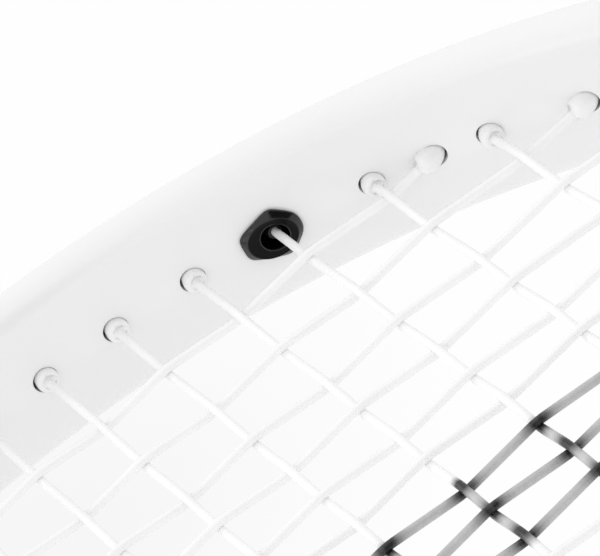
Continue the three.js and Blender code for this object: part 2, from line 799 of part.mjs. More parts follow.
// ---------------------------------------------------------------- the racket
addNode("frame", frameSolid(), FRAME_WHITE, 0.16);
for (const [name, section, s0, s1] of strips) {
  addNode(name, stripSolid(section, s0 + STRIP_GAP, s1 - STRIP_GAP), TRIM_WHITE, 0.35);
}
lockStations.sort((a, b) => a - b);
lockStations.forEach((s, i) => {
  addNode(`lock_socket_${i + 1}`, lockSocket(s), LOCK_BLACK, 0.18);
  addNode(`lock_plug_${i + 1}`, lockPlug(s), LOCK_BLACK, 0.35);
});
addNode("main_string", stringSolid(mainStringPlaces()), STRING_WHITE, 0.4);
addNode("cross_string", stringSolid(crossStringPlaces()), STRING_WHITE, 0.4);
addNode("handle_pallet_upper", palletSolid(1), 0xd8d5cc, 0.8);
addNode("handle_pallet_lower", palletSolid(-1), 0xd8d5cc, 0.8);
const skirtCuts = [stapleSolid(1, CLEAR), stapleSolid(-1, CLEAR)];
addNode("butt_cap", without(turned(BUTT_PROFILE), skirtCuts), 0x1b1b1d, 0.45);
addNode("end_disc", turned([[0, 0], [DISC_R, 0], [DISC_R, DISC_THICK], [0, DISC_THICK]]), 0x2a2a2c, 0.4);
addNode("staple_upper", stapleSolid(1, 0), 0xb8babd, 0.35, 1);
addNode("staple_lower", stapleSolid(-1, 0), 0xb8babd, 0.35, 1);
addNode("grip_sleeve", turned(SLEEVE_PROFILE), 0x1d1d1f, 0.85);
addNode("finishing_tape", ring(TAPE_IN_R, TAPE_IN_R + TAPE_THICK, TAPE_X[0], TAPE_X[1]), 0x101012, 0.4);
addNode("shaft_collar", collarSolid(), 0x18181a, 0.6);

export default group;
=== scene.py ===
# %% [markdown]
# # A squash racket, finished from its solid model
#
# The racket comes in as a fixed frame of measured solids. This lesson gives each solid its finished
# surface: a lacquered hoop, woven strings with a stencilled bar, small nylon collars round every
# string hole, glossy string locks and a wrapped handle.
#
# Everything is in metres. +X runs from the butt to the tip, +Y to the left and +Z square to the strings.

# %% Load the solids
import json
import math

import bmesh
import bpy
import numpy as np
from mathutils import Matrix, Vector

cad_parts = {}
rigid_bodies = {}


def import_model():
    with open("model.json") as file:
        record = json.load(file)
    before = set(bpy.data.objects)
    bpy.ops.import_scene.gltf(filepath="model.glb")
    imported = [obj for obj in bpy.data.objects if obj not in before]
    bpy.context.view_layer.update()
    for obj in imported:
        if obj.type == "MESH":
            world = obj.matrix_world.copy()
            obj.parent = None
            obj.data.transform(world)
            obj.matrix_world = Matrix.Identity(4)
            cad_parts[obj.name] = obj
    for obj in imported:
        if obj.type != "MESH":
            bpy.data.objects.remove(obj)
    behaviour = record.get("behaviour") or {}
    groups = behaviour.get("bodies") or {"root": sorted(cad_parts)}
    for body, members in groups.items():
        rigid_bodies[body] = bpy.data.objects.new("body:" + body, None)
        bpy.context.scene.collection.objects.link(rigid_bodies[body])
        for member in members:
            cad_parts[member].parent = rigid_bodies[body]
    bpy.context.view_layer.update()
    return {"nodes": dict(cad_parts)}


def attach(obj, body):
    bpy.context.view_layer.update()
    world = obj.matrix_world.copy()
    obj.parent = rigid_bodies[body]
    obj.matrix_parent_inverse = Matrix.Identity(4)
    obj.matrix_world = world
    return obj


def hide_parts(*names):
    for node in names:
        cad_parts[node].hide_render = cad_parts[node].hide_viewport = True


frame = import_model()
print("nodes:", len(frame["nodes"]))

MM = 0.001


def srgb(text):
    """A hex colour as the eye sees it, turned into the linear values that shaders use."""
    values = [int(text[i:i + 2], 16) / 255 for i in (0, 2, 4)]
    linear = [v / 12.92 if v <= 0.04045 else ((v + 0.055) / 1.055) ** 2.4 for v in values]
    return (*linear, 1.0)


# %% [markdown]
# ## The camera
#
# A long lens looks down at the left shoulder of the head from inside the hoop's far side.
# The view could be set by aiming at a target, but a full turn matrix also fixes the roll.

# %% Camera
VIEW_RIGHT = Vector((0.76103, -0.49091, -0.42408))
VIEW_DOWN = Vector((-0.62143, -0.36405, -0.69376))
VIEW_AHEAD = Vector((0.18618, 0.79150, -0.58212))
VIEW_FROM = Vector((0.48936, -0.41683, 0.35825))
FOCAL_MM = 290.7

camera_data = bpy.data.cameras.new("view_camera")
camera_data.lens = FOCAL_MM
camera_data.sensor_width = 36
camera_data.clip_end = 20
camera = bpy.data.objects.new("view_camera", camera_data)
turn = Matrix((VIEW_RIGHT, -VIEW_DOWN, -VIEW_AHEAD)).transposed()
camera.matrix_world = Matrix.Translation(VIEW_FROM) @ turn.to_4x4()
bpy.context.scene.collection.objects.link(camera)
bpy.context.scene.camera = camera
print("camera at", [round(v, 3) for v in VIEW_FROM])

# %% [markdown]
# ## The line of the hoop
#
# The head is one closed loop: a cubic curve up each side and half an ellipse over the tip.
# The finished pieces are laid out along it by arc length, so a place is (s, n, z): how far round,
# how far out from the middle of the tube wall, and how high.

# %% Hoop line
TIP_X = 680.6
WIDEST_X = 562.0
THROAT_X = 321.0
HALF_WIDTH = 92.3
SIDE_HANDLE = 92.0
THROAT_HALF = 52.0
WALL = 3.6          # half the tube's thickness
DEEP = 11.5         # half the tube's depth


def cubic(first, second, third, last, t):
    """A cubic curve from first to last, pulled towards the two points between."""
    u = 1 - t
    return u**3 * first + 3 * u**2 * t * second + 3 * u * t**2 * third + t**3 * last


def half_line(count):
    """Points and headings from the bridge up the left side to the tip."""
    t = np.linspace(0, 1, count)[:, None]
    ends = np.array([[THROAT_X, 0], [THROAT_X, THROAT_HALF],
                     [WIDEST_X - SIDE_HANDLE, HALF_WIDTH], [WIDEST_X, HALF_WIDTH]], float)
    side = cubic(*ends, t)
    angle = np.pi / 2 * (1 - t)
    top = np.hstack([WIDEST_X + (TIP_X - WIDEST_X) * np.cos(angle), HALF_WIDTH * np.sin(angle)])
    return np.vstack([side, top[1:]])


fine = half_line(6001)
steps = np.hypot(*np.diff(fine, axis=0).T)
fine_length = np.concatenate([[0], np.cumsum(steps)])
HALF_LENGTH = fine_length[-1]


def hoop_point(s):
    """The middle of the tube wall at s, 0 to 1 up the left side and 1 to 2 down the right."""
    s = np.mod(np.asarray(s, float), 2)
    u = np.where(s > 1, 2 - s, s) * HALF_LENGTH
    x = np.interp(u, fine_length, fine[:, 0])
    y = np.interp(u, fine_length, fine[:, 1])
    return np.stack([x, np.where(s > 1, -y, y)], -1)


def hoop_out(s):
    """The outward direction at s."""
    small = 0.0008
    along = hoop_point(np.asarray(s) + small) - hoop_point(np.asarray(s) - small)
    along /= np.linalg.norm(along, axis=-1, keepdims=True)
    return np.stack([-along[..., 1], along[..., 0]], -1)


def place(s, n, z=0.0):
    """The place (s, n, z) as x, y and z in millimetres."""
    flat = hoop_point(s) + np.asarray(n, float)[..., None] * hoop_out(s)
    height = np.broadcast_to(z, flat.shape[:-1])
    return np.concatenate([flat, height[..., None]], -1)


# %% [markdown]
# ## Helpers for meshes and node trees
#
# A swept piece starts as a bare line. A Geometry Nodes tree turns the line into a curve, carries a
# section along it and closes the ends; the result is kept as a plain mesh.

# %% Mesh and node helpers
scene_objects = bpy.context.scene.collection.objects


def new_object(name, mesh):
    item = bpy.data.objects.new(name, mesh)
    scene_objects.link(item)
    return item


def mesh_object(name, points_mm, edges=(), faces=()):
    """A mesh from points given in millimetres."""
    mesh = bpy.data.meshes.new(name)
    mesh.from_pydata((np.asarray(points_mm) * MM).tolist(), list(edges), list(faces))
    return new_object(name, mesh)


def line_object(name, points_mm, closed=False):
    """A chain of edges through the points."""
    count = len(points_mm)
    edges = [(i, i + 1) for i in range(count - 1)] + ([(count - 1, 0)] if closed else [])
    return mesh_object(name, points_mm, edges)


def ring_faces(rings, sides, closed=False):
    """Four-sided faces between rings of points; closed also joins the last ring to the first."""
    faces = []
    for i in range(rings if closed else rings - 1):
        for j in range(sides):
            k, n = (j + 1) % sides, (i + 1) % rings
            faces.append((i * sides + j, i * sides + k, n * sides + k, n * sides + j))
    return faces


def shade_smooth(item):
    item.data.polygons.foreach_set("use_smooth", [True] * len(item.data.polygons))


def add_node(tree, kind, settings=None, **links):
    """One node with its settings, and its inputs linked or set by name."""
    node = tree.nodes.new(kind)
    for key, value in (settings or {}).items():
        setattr(node, key, value)
    for key, value in links.items():
        numbered = key[0] == "i" and key[1:].isdigit()
        socket = node.inputs[int(key[1:]) if numbered else key.replace("_", " ")]
        if isinstance(value, bpy.types.NodeSocket):
            tree.links.new(value, socket)
        else:
            socket.default_value = value
    return node


def new_tree(name, inputs):
    """An empty Geometry Nodes tree with named inputs; returns the tree and its input node."""
    tree = bpy.data.node_groups.new(name, "GeometryNodeTree")
    tree.interface.new_socket("Geometry", in_out="INPUT", socket_type="NodeSocketGeometry")
    for label, kind in inputs:
        tree.interface.new_socket(label, in_out="INPUT", socket_type=kind)
    tree.interface.new_socket("Geometry", in_out="OUTPUT", socket_type="NodeSocketGeometry")
    return tree, tree.nodes.new("NodeGroupInput")


def close_tree(tree, geometry, material):
    """Every tree ends the same way: real geometry, smooth, in one material."""
    real = add_node(tree, "GeometryNodeRealizeInstances", i0=geometry)
    smooth = add_node(tree, "GeometryNodeSetShadeSmooth", i0=real.outputs[0])
    painted = add_node(tree, "GeometryNodeSetMaterial", Geometry=smooth.outputs[0], Material=material)
    output = tree.nodes.new("NodeGroupOutput")
    tree.links.new(painted.outputs[0], output.inputs[0])


def as_plain_mesh(item):
    """The item's mesh with its modifiers worked in."""
    bpy.context.view_layer.update()
    graph = bpy.context.evaluated_depsgraph_get()
    return bpy.data.meshes.new_from_object(item.evaluated_get(graph), depsgraph=graph)


def grown(source, tree, values, name):
    """Runs a tree on a source object and keeps the result as a plain mesh object."""
    modifier = source.modifiers.new("grow", "NODES")
    modifier.node_group = tree
    labels = {item.name: item.identifier
              for item in tree.interface.items_tree if item.in_out == "INPUT"}
    for label, value in values.items():
        modifier[labels[label]] = value
    mesh = as_plain_mesh(source)
    mesh.name = name
    result = new_object(name, mesh)
    bpy.data.objects.remove(source)
    face_outwards(result)
    return result


def face_outwards(item):
    work = bmesh.new()
    work.from_mesh(item.data)
    bmesh.ops.remove_doubles(work, verts=work.verts, dist=1e-7)
    bmesh.ops.recalc_face_normals(work, faces=work.faces)
    work.to_mesh(item.data)
    work.free()


sweep_tree, given = new_tree("carry_section_along_line", [
    ("Section", "NodeSocketObject"), ("Material", "NodeSocketMaterial"),
    ("Close ends", "NodeSocketBool")])
line = add_node(sweep_tree, "GeometryNodeMeshToCurve", Mesh=given.outputs["Geometry"])
upright = add_node(sweep_tree, "GeometryNodeSetCurveNormal", {"mode": "Z_UP"}, Curve=line.outputs[0])
section = add_node(sweep_tree, "GeometryNodeObjectInfo", Object=given.outputs["Section"])
section_line = add_node(sweep_tree, "GeometryNodeMeshToCurve", Mesh=section.outputs["Geometry"])
swept = add_node(sweep_tree, "GeometryNodeCurveToMesh", Curve=upright.outputs[0])
sweep_tree.links.new(section_line.outputs[0], swept.inputs["Profile Curve"])
sweep_tree.links.new(given.outputs["Close ends"], swept.inputs["Fill Caps"])
close_tree(sweep_tree, swept.outputs[0], given.outputs["Material"])

string_tree, given = new_tree("string_along_line", [
    ("Radius", "NodeSocketFloat"), ("Sides", "NodeSocketInt"), ("Material", "NodeSocketMaterial")])
line = add_node(string_tree, "GeometryNodeMeshToCurve", Mesh=given.outputs["Geometry"])
ring = add_node(string_tree, "GeometryNodeCurvePrimitiveCircle",
                Resolution=given.outputs["Sides"], Radius=given.outputs["Radius"])
swept = add_node(string_tree, "GeometryNodeCurveToMesh", Curve=line.outputs[0])
string_tree.links.new(ring.outputs[0], swept.inputs["Profile Curve"])
swept.inputs["Fill Caps"].default_value = True
close_tree(string_tree, swept.outputs[0], given.outputs["Material"])

fitting_tree, given = new_tree("fitting_at_every_hole", [
    ("Fitting", "NodeSocketObject"), ("Material", "NodeSocketMaterial")])
fitting = add_node(fitting_tree, "GeometryNodeObjectInfo", Object=given.outputs["Fitting"])
facing, along, size = (
    add_node(fitting_tree, "GeometryNodeInputNamedAttribute", {"data_type": "FLOAT_VECTOR"}, Name=label)
    for label in ("facing", "along", "size"))
stood = add_node(fitting_tree, "FunctionNodeAlignRotationToVector", {"axis": "Z"},
                 Vector=facing.outputs[0])
turned = add_node(fitting_tree, "FunctionNodeAlignRotationToVector", {"axis": "X", "pivot_axis": "Z"},
                  Rotation=stood.outputs[0], Vector=along.outputs[0])
placed = add_node(fitting_tree, "GeometryNodeInstanceOnPoints", Points=given.outputs["Geometry"],
                  Instance=fitting.outputs["Geometry"], Rotation=turned.outputs[0],
                  Scale=size.outputs[0])
close_tree(fitting_tree, placed.outputs[0], given.outputs["Material"])


def swept_piece(name, points_mm, section, material, closed=False):
    """A section carried along a line; a closed line has no ends to close."""
    line = line_object(name + "_line", points_mm, closed)
    values = {"Section": section, "Material": material, "Close ends": not closed}
    return grown(line, sweep_tree, values, name)


# %% [markdown]
# ## White lacquer
#
# Moulded fibre is filled, sprayed white and cleared. The colour drifts a little over the hand, the
# clear coat has a faint orange-peel, and fine polishing marks soften the gloss in places.
# A single colour would read as raw plastic, so each of these is a layer of noise at its real scale.

# %% Material helpers and lacquer
def new_material(name):
    material = bpy.data.materials.new(name)
    material.use_nodes = True
    tree = material.node_tree
    shader = tree.nodes["Principled BSDF"]
    coords = add_node(tree, "ShaderNodeTexCoord").outputs["Object"]
    return material, tree, shader, coords


def noise(tree, coords, per_metre, detail=4.0, roughness=0.5, stretch=(1, 1, 1)):
    """Noise with a given number of cells in a metre."""
    spot = add_node(tree, "ShaderNodeMapping", Vector=coords, Scale=stretch)
    node = add_node(tree, "ShaderNodeTexNoise", Vector=spot.outputs[0],
                    Scale=per_metre, Detail=detail, Roughness=roughness)
    return node.outputs["Fac"]


def ramp(tree, factor, low, high, start=0.0, end=1.0):
    """Values from low to high as a factor goes from start to end."""
    node = add_node(tree, "ShaderNodeMapRange", Value=factor)
    for label, value in (("From Min", start), ("From Max", end), ("To Min", low), ("To Max", high)):
        node.inputs[label].default_value = value
    return node.outputs["Result"]


def blend_colour(tree, factor, first, second):
    node = add_node(tree, "ShaderNodeMix", {"data_type": "RGBA"})
    for socket, value in ((0, factor), (6, first), (7, second)):
        if isinstance(value, bpy.types.NodeSocket):
            tree.links.new(value, node.inputs[socket])
        else:
            node.inputs[socket].default_value = value
    return node.outputs[2]


def bump(tree, height, distance_mm, strength=1.0):
    node = add_node(tree, "ShaderNodeBump", Height=height, Distance=distance_mm * MM, Strength=strength)
    return node.outputs[0]


def math_node(tree, operation, first, second=None):
    links = {"i0": first} if second is None else {"i0": first, "i1": second}
    return add_node(tree, "ShaderNodeMath", {"operation": operation}, **links).outputs[0]


def patches(tree, coords, per_metre, detail=3):
    """Broad soft patches, from 0 to 1."""
    return ramp(tree, noise(tree, coords, per_metre, detail=detail), 0, 1, 0.35, 0.65)


def lacquer(name, base_hex, tint_hex, roughness=0.16):
    material, tree, shader, coords = new_material(name)
    colour = blend_colour(tree, patches(tree, coords, 18), srgb(base_hex), srgb(tint_hex))
    peel = noise(tree, coords, 900, detail=2)
    marks = noise(tree, coords, 260, detail=5, stretch=(0.35, 1, 1))
    tree.links.new(colour, shader.inputs["Base Color"])
    rough = ramp(tree, marks, roughness * 0.8, roughness * 1.5, 0.3, 0.75)
    tree.links.new(rough, shader.inputs["Roughness"])
    tree.links.new(bump(tree, peel, 0.012, 0.5), shader.inputs["Normal"])
    shader.inputs["IOR"].default_value = 1.5
    shader.inputs["Coat Weight"].default_value = 0.6
    shader.inputs["Coat Roughness"].default_value = 0.06
    return material


frame_white = lacquer("white_lacquer", "f3f3f3", "f0f0f0")   # sprayed white under clear coat, IOR 1.5

# %% [markdown]
# ## Frame
#
# The hoop's section is nearly flat inside, round at both edges and grooved outside, where the
# strings pass from hole to hole. Two arms leave the hoop's sides and run into the shaft.
# A boolean of plain tubes would facet; carrying one smooth section round the line keeps the gloss clean.

# %% Frame sections
ROUND = 3.3
GROOVE_HALF = 3.5
GROOVE_FLOOR = WALL - 3.2
CROWN = 0.25


def corner(cz, cn, radius, start_deg, end_deg, count=9):
    angle = np.radians(np.linspace(start_deg, end_deg, count))
    return np.stack([cn + radius * np.cos(angle), cz + radius * np.sin(angle)], -1)


def section_object(name, outline):
    """A closed section in (n, z) millimetres, for the sweep tree to carry."""
    outline = np.asarray(outline, float)
    return line_object(name, np.hstack([outline, np.zeros((len(outline), 1))]), closed=True)


flat_z = np.linspace(DEEP - ROUND, -(DEEP - ROUND), 13)
inner_face = np.stack([-WALL - CROWN * (1 - (flat_z / (DEEP - ROUND)) ** 2), flat_z], -1)
lip = 0.5
hoop_outline = np.vstack([
    corner(DEEP - ROUND, WALL - ROUND, ROUND, 0, 90),
    corner(DEEP - ROUND, -WALL + ROUND, ROUND, 90, 180)[:-1],
    inner_face,
    corner(-(DEEP - ROUND), -WALL + ROUND, ROUND, 180, 270)[1:],
    corner(-(DEEP - ROUND), WALL - ROUND, ROUND, 270, 360),
    corner(-GROOVE_HALF - lip, WALL - lip, lip, 0, 90, 4),
    [[GROOVE_FLOOR + lip, -GROOVE_HALF], [GROOVE_FLOOR, -GROOVE_HALF + lip]],
    [[GROOVE_FLOOR, GROOVE_HALF - lip], [GROOVE_FLOOR + lip, GROOVE_HALF]],
    corner(GROOVE_HALF + lip, WALL - lip, lip, 270, 360, 4),
])
hoop_section = section_object("hoop_section", hoop_outline)


def rounded_section(name, wide, deep, radius, middle=0.0, count=9):
    n, z = wide / 2 - radius, deep / 2 - radius
    return section_object(name, np.vstack([
        corner(z, middle + n, radius, 0, 90, count), corner(z, middle - n, radius, 90, 180, count),
        corner(-z, middle - n, radius, 180, 270, count),
        corner(-z, middle + n, radius, 270, 360, count)]))


# %% [markdown]
# ## Where the strings run
#
# Eighteen mains run from bridge to tip and seventeen crosses run over and under them. One string makes
# all the mains and the three top crosses; a second makes the other crosses. Both bend a little at
# every crossing, so neither family stays flat.

# %% String layout
MAIN_Y = [72.4, 60.6, 49.8, 41.2, 32.5, 25.4, 17.2, 10.4, 3.4]
TOP_CROSS_X = [648.9, 634.4, 619.8]
LOWER_CROSS_X = [607, 595, 583.4, 572.4, 562.2, 551.7, 540.2, 527.2, 512.7, 496.7, 478.7, 458.7,
                 430, 396.5]
FACE = -(WALL + CROWN)          # the inner wall
MAIN_BEND = FACE                # where a main turns out of its hole
CROSS_BEND = FACE - 0.5
LOCK_BEND = FACE + 1.0          # deep in the lock
BEND_R = 1.7
STRING_R = 0.61
HOLE_R = 1.8
LOCK_HOLE_R = 2.8
MAIN_LIFT = 0.68
CROSS_LIFT = 0.47

table_s = np.linspace(0, 1, 8001)
WIDEST_S = table_s[np.argmax(hoop_point(table_s)[:, 1])]


def station_where(axis, value, n, low=0.0, high=1.0):
    """The s between low and high where the line n millimetres out reaches x or y = value."""
    s = table_s[(table_s >= low) & (table_s <= high)]
    reach = place(s, np.full(len(s), n))[:, axis]
    order = np.argsort(reach)
    return float(np.interp(value, reach[order], s[order]))


mains = []
for y in MAIN_Y + [-y for y in reversed(MAIN_Y)]:
    tip = station_where(1, abs(y), MAIN_BEND, WIDEST_S, 1.0)
    throat = station_where(1, abs(y), MAIN_BEND, 0.0, WIDEST_S)
    mains.append({"y": y, "tip": tip if y > 0 else 2 - tip, "throat": throat if y > 0 else -throat,
                  "tip_x": place(tip, MAIN_BEND)[0], "throat_x": place(throat, MAIN_BEND)[0]})

crosses = []
TOP_COUNT = len(TOP_CROSS_X)
for i, x in enumerate(TOP_CROSS_X + LOWER_CROSS_X):
    last = i == TOP_COUNT + len(LOWER_CROSS_X) - 1
    left_lock, right_lock = i == TOP_COUNT or last, i in (0, TOP_COUNT - 1)
    crosses.append({"x": x, "index": i, "left_lock": left_lock, "right_lock": right_lock,
                    "left": station_where(0, x, LOCK_BEND if left_lock else CROSS_BEND),
                    "right": 2 - station_where(0, x, LOCK_BEND if right_lock else CROSS_BEND)})

# Each hole: its station, how its string leaves it, where the string turns and whether a main uses it.
holes, lock_holes = [], []
for main in mains:
    holes.append({"s": main["tip"], "leaves": (-1, 0), "bend": MAIN_BEND, "main": True})
    holes.append({"s": main["throat"], "leaves": (1, 0), "bend": MAIN_BEND, "main": True})
for cross in crosses:
    for end, leaves in (("left", (0, -1)), ("right", (0, 1))):
        locked = cross[end + "_lock"]
        hole = {"s": cross[end], "leaves": leaves, "bend": LOCK_BEND if locked else CROSS_BEND,
                "main": False}
        (lock_holes if locked else holes).append(hole)
print("mains", len(mains), "crosses", len(crosses))

# %% Frame sweep
stations = np.linspace(0, 2, 900, endpoint=False)[::-1]
hoop = swept_piece("hoop", place(stations, 0.0), hoop_section, frame_white, closed=True)


def lean(hole):
    """Along the wall, the way that the string pulls its fitting."""
    out = hoop_out(hole["s"])
    along = np.array([out[1], -out[0]])
    return along * (1 if np.dot(along, hole["leaves"]) >= 0 else -1)


def drill(name, round_holes, radius, sides):
    """Posts square to the wall at every hole, to be cut from the hoop."""
    angle = np.linspace(0, 2 * np.pi, sides, endpoint=False)
    points, faces = [], []
    for hole in round_holes:
        base = len(points)
        out = np.append(hoop_out(hole["s"]), 0.0)
        along = np.append(lean(hole), 0.0)
        ring = radius * (np.outer(np.cos(angle), along) + np.outer(np.sin(angle), [0, 0, 1]))
        for n in (FACE - 1.0, GROOVE_FLOOR + 0.6):
            points += (place(hole["s"], 0.0) + n * out + ring).tolist()
        near = list(range(base, base + sides))
        far = list(range(base + sides, base + 2 * sides))
        faces += [near[::-1], far]
        faces += [(near[j], near[(j + 1) % sides], far[(j + 1) % sides], far[j]) for j in range(sides)]
    posts = mesh_object(name, points, [], faces)
    face_outwards(posts)
    return posts


for drills in (drill("hole_drills", holes, HOLE_R, 40),
               drill("lock_drills", lock_holes, LOCK_HOLE_R, 48)):
    cut = hoop.modifiers.new("holes", "BOOLEAN")
    cut.operation, cut.solver, cut.object = "DIFFERENCE", "EXACT", drills
    bored = as_plain_mesh(hoop)
    hoop.modifiers.clear()
    hoop.data = bored
    bpy.data.objects.remove(drills)
shade_smooth(hoop)
hoop.data.set_sharp_from_angle(angle=math.radians(32))

ARM_LEAVES_S = 0.205
ARM_PULL = 46.0
ARM_END = np.array([258.0, 4.9])
ARM_END_PULL = np.array([40.0, 3.2])
ARM_THINS_X = [262, 300]      # between these the arm grows from the shaft's depth to its own
SHAFT_X = (8, 272)
ARM_DEEP, ARM_DEEP_AT_SHAFT = 22.4, 20.2      # an arm thins where it runs into the shaft


def arm_line(side, count=70):
    start = hoop_point(ARM_LEAVES_S)
    out = hoop_out(ARM_LEAVES_S)
    along = np.array([out[1], -out[0]])
    flat = cubic(start, start - along * ARM_PULL, ARM_END + ARM_END_PULL, ARM_END,
                 np.linspace(0, 1, count)[:, None])
    return np.stack([flat[:, 0], flat[:, 1] * side, np.zeros(count)], -1)


arm_section = rounded_section("arm_section", 7.0, ARM_DEEP, 3.2)
shaft_section = rounded_section("shaft_section", 17.0, 21.0, 4.0)
frame_parts = [hoop]
for side in (1, -1):
    arm = swept_piece("arm", arm_line(side), arm_section, frame_white)
    for vertex in arm.data.vertices:
        thinner = np.interp(vertex.co.x / MM, ARM_THINS_X, [ARM_DEEP_AT_SHAFT / ARM_DEEP, 1])
        vertex.co.z *= float(thinner)
    frame_parts.append(arm)
shaft_points = [[x, 0, 0] for x in np.linspace(*SHAFT_X, 40)]
frame_parts.append(swept_piece("shaft", shaft_points, shaft_section, frame_white))


def joined(items, name):
    with bpy.context.temp_override(active_object=items[0], object=items[0],
                                   selected_editable_objects=items):
        bpy.ops.object.join()
    items[0].name = name
    items[0].data.name = name
    return items[0]


racket_frame = joined(frame_parts, "racket_frame")

# %% String routes
STRIP_IN = GROOVE_FLOOR + 0.3
STRIP_OUT = STRIP_IN + 1.0
LANE_N = STRIP_OUT + 0.25 + 0.58
LANE = 1.5
STEP = 0.7
TURN_SOFT = 1.1       # a run is rounded over this much to each side of a crossing
LANE_CHANGE = 3.2     # a string needs this much to reach its lane beside the holes
END_N = -0.5          # a string's end stops here, inside its lock


def woven(start, end, along_axis, knots, heights):
    """A taut run from start to end that passes each knot at its height, rounded where it turns."""
    t0, t1 = start[along_axis], end[along_axis]
    t = np.linspace(t0, t1, max(3, int(abs(t1 - t0) / STEP)))
    order = np.argsort(knots)
    at = np.concatenate([[min(t0, t1)], np.asarray(knots)[order], [max(t0, t1)]])
    high = np.concatenate([[0], np.asarray(heights)[order], [0]])
    window = np.linspace(-TURN_SOFT, TURN_SOFT, 9)
    fade = np.clip(np.minimum(abs(t - t0), abs(t - t1)) / TURN_SOFT, 0, 1)[:, None]
    z = np.interp(t[:, None] + window * fade, at, high).mean(1)
    share = (t - t0) / (t1 - t0)
    run = np.outer(1 - share, start) + np.outer(share, end)
    run[:, 2] = z
    return run


def turn_out(s, bend_n, leaves, count=7):
    """The arc by which a string turns from its hole's line to the way it leaves, hole end first."""
    inward = -np.append(hoop_out(s), 0.0)
    leaves = np.array([*leaves, 0.0])
    angle = math.acos(float(np.clip(inward @ leaves, -1, 1)))
    side = leaves - inward * (inward @ leaves)
    side /= max(np.linalg.norm(side), 1e-9)
    start = place(s, bend_n) - inward * BEND_R * math.tan(angle / 2)
    turned = np.linspace(0, angle, count)[:, None]
    return start + BEND_R * (np.sin(turned) * inward + (1 - np.cos(turned)) * side)


def run_between(first, second, along_axis, knots, heights):
    """Arc, woven span and arc, from one hole to the other; both arcs are given hole end first."""
    span = woven(first[-1], second[-1], along_axis, knots, heights)
    return np.vstack([first[:-1], span, second[:-1][::-1]])


def main_run(main, k):
    meets = [c for c in crosses if main["throat_x"] < c["x"] < main["tip_x"]]
    heights = [-MAIN_LIFT if (k + c["index"]) % 2 == 0 else MAIN_LIFT for c in meets]
    low, high = turn_out(main["throat"], MAIN_BEND, (1, 0)), turn_out(main["tip"], MAIN_BEND, (-1, 0))
    return run_between(low, high, 0, [c["x"] for c in meets], heights)


def cross_run(cross):
    met = [(k, m) for k, m in enumerate(mains) if m["throat_x"] < cross["x"] < m["tip_x"]]
    heights = [CROSS_LIFT if (k + cross["index"]) % 2 == 0 else -CROSS_LIFT for k, _ in met]
    left = turn_out(cross["left"], LOCK_BEND if cross["left_lock"] else CROSS_BEND, (0, -1))
    right = turn_out(cross["right"], LOCK_BEND if cross["right_lock"] else CROSS_BEND, (0, 1))
    return run_between(left, right, 1, [m["y"] for _, m in met], heights)


def groove_run(s0, s1, lane):
    """Out of one hole, along the groove on one side of it, and into the next."""
    length = abs(s1 - s0) * HALF_LENGTH
    d = np.concatenate([[0, 0.15, 0.5, 1.1, 2.0], np.arange(LANE_CHANGE, length - LANE_CHANGE, 1.5),
                        length - np.array([LANE_CHANGE, 2.0, 1.1, 0.5, 0.15, 0])])
    edge = np.minimum(d, length - d)
    rise = np.interp(edge, [0, 0.15, 0.5, 1.1], [STRIP_OUT, STRIP_OUT + 0.4, LANE_N - 0.2, LANE_N])
    share = np.clip(edge / LANE_CHANGE, 0, 1)
    side = lane * LANE * (3 * share ** 2 - 2 * share ** 3)
    return place(s0 + np.sign(s1 - s0) * d / HALF_LENGTH, rise, side)


def route_of_mains():
    low_top = crosses[TOP_COUNT - 1]
    runs = [place([low_top["right"]], [END_N]), cross_run(low_top)[::-1],
            groove_run(low_top["left"], mains[0]["tip"], -1)]
    for k, main in enumerate(mains):
        down = k % 2 == 0
        run = main_run(main, k)
        runs.append(run[::-1] if down else run)
        if k + 1 < len(mains):
            end = "throat" if down else "tip"
            runs.append(groove_run(main[end], mains[k + 1][end], 1))
    at, right = mains[-1]["tip"], True
    for i in range(TOP_COUNT - 2, -1, -1):
        cross = crosses[i]
        runs.append(groove_run(at, cross["right"] if right else cross["left"], -1))
        run = cross_run(cross)
        runs.append(run[::-1] if right else run)
        at, right = (cross["left"], False) if right else (cross["right"], True)
    runs.append(place([at], [END_N]))
    return np.vstack(runs)


def route_of_crosses():
    lower = crosses[TOP_COUNT:]
    runs = [place([lower[0]["left"]], [END_N])]
    for i, cross in enumerate(lower):
        run = cross_run(cross)
        rightward = i % 2 == 0
        runs.append(run if rightward else run[::-1])
        if i + 1 < len(lower):
            end = "right" if rightward else "left"
            runs.append(groove_run(cross[end], lower[i + 1][end], -1))
    runs.append(place([lower[-1]["left"]], [END_N]))
    return np.vstack(runs)


main_route, cross_route = route_of_mains(), route_of_crosses()
for label, route in (("mains", main_route), ("crosses", cross_route)):
    length = np.linalg.norm(np.diff(route, axis=0), axis=1).sum() * MM
    print(label, "string length", round(length, 2), "m")

# %% [markdown]
# ## String material
#
# Nylon strings are white and smooth. Their white is faintly clouded and their gloss varies a little.
# A stencilled bar of black ink sits on them, just left of the middle line and towards the tip. The ink
# is thin between crossings and full on them, and its edges are soft where it was rolled on. The mask
# is worked out from the place on the face, so it lines up on both strings.

# %% Strings
BAR_X = (560.0, 646.0)
BAR_Y = (0.2, 19.0)
EDGE = 1.2


def ink_share(points_mm, between):
    """How much ink a place carries: thin between crossings, full where strings cross."""
    x, y = points_mm[:, 0], points_mm[:, 1]
    inside = np.clip((x - BAR_X[0]) / EDGE, 0, 1) * np.clip((BAR_X[1] - x) / EDGE, 0, 1)
    inside *= np.clip((y - BAR_Y[0]) / EDGE, 0, 1) * np.clip((BAR_Y[1] - y) / EDGE, 0, 1)
    spot = np.zeros(len(x))
    for main in mains:
        for cross in crosses:
            away = (x - cross["x"]) ** 2 + (y - main["y"]) ** 2
            spot = np.maximum(spot, np.minimum(1, 1.3 * np.exp(-away / 2.0 ** 2)))
    return inside * (between + (1 - between) * spot)


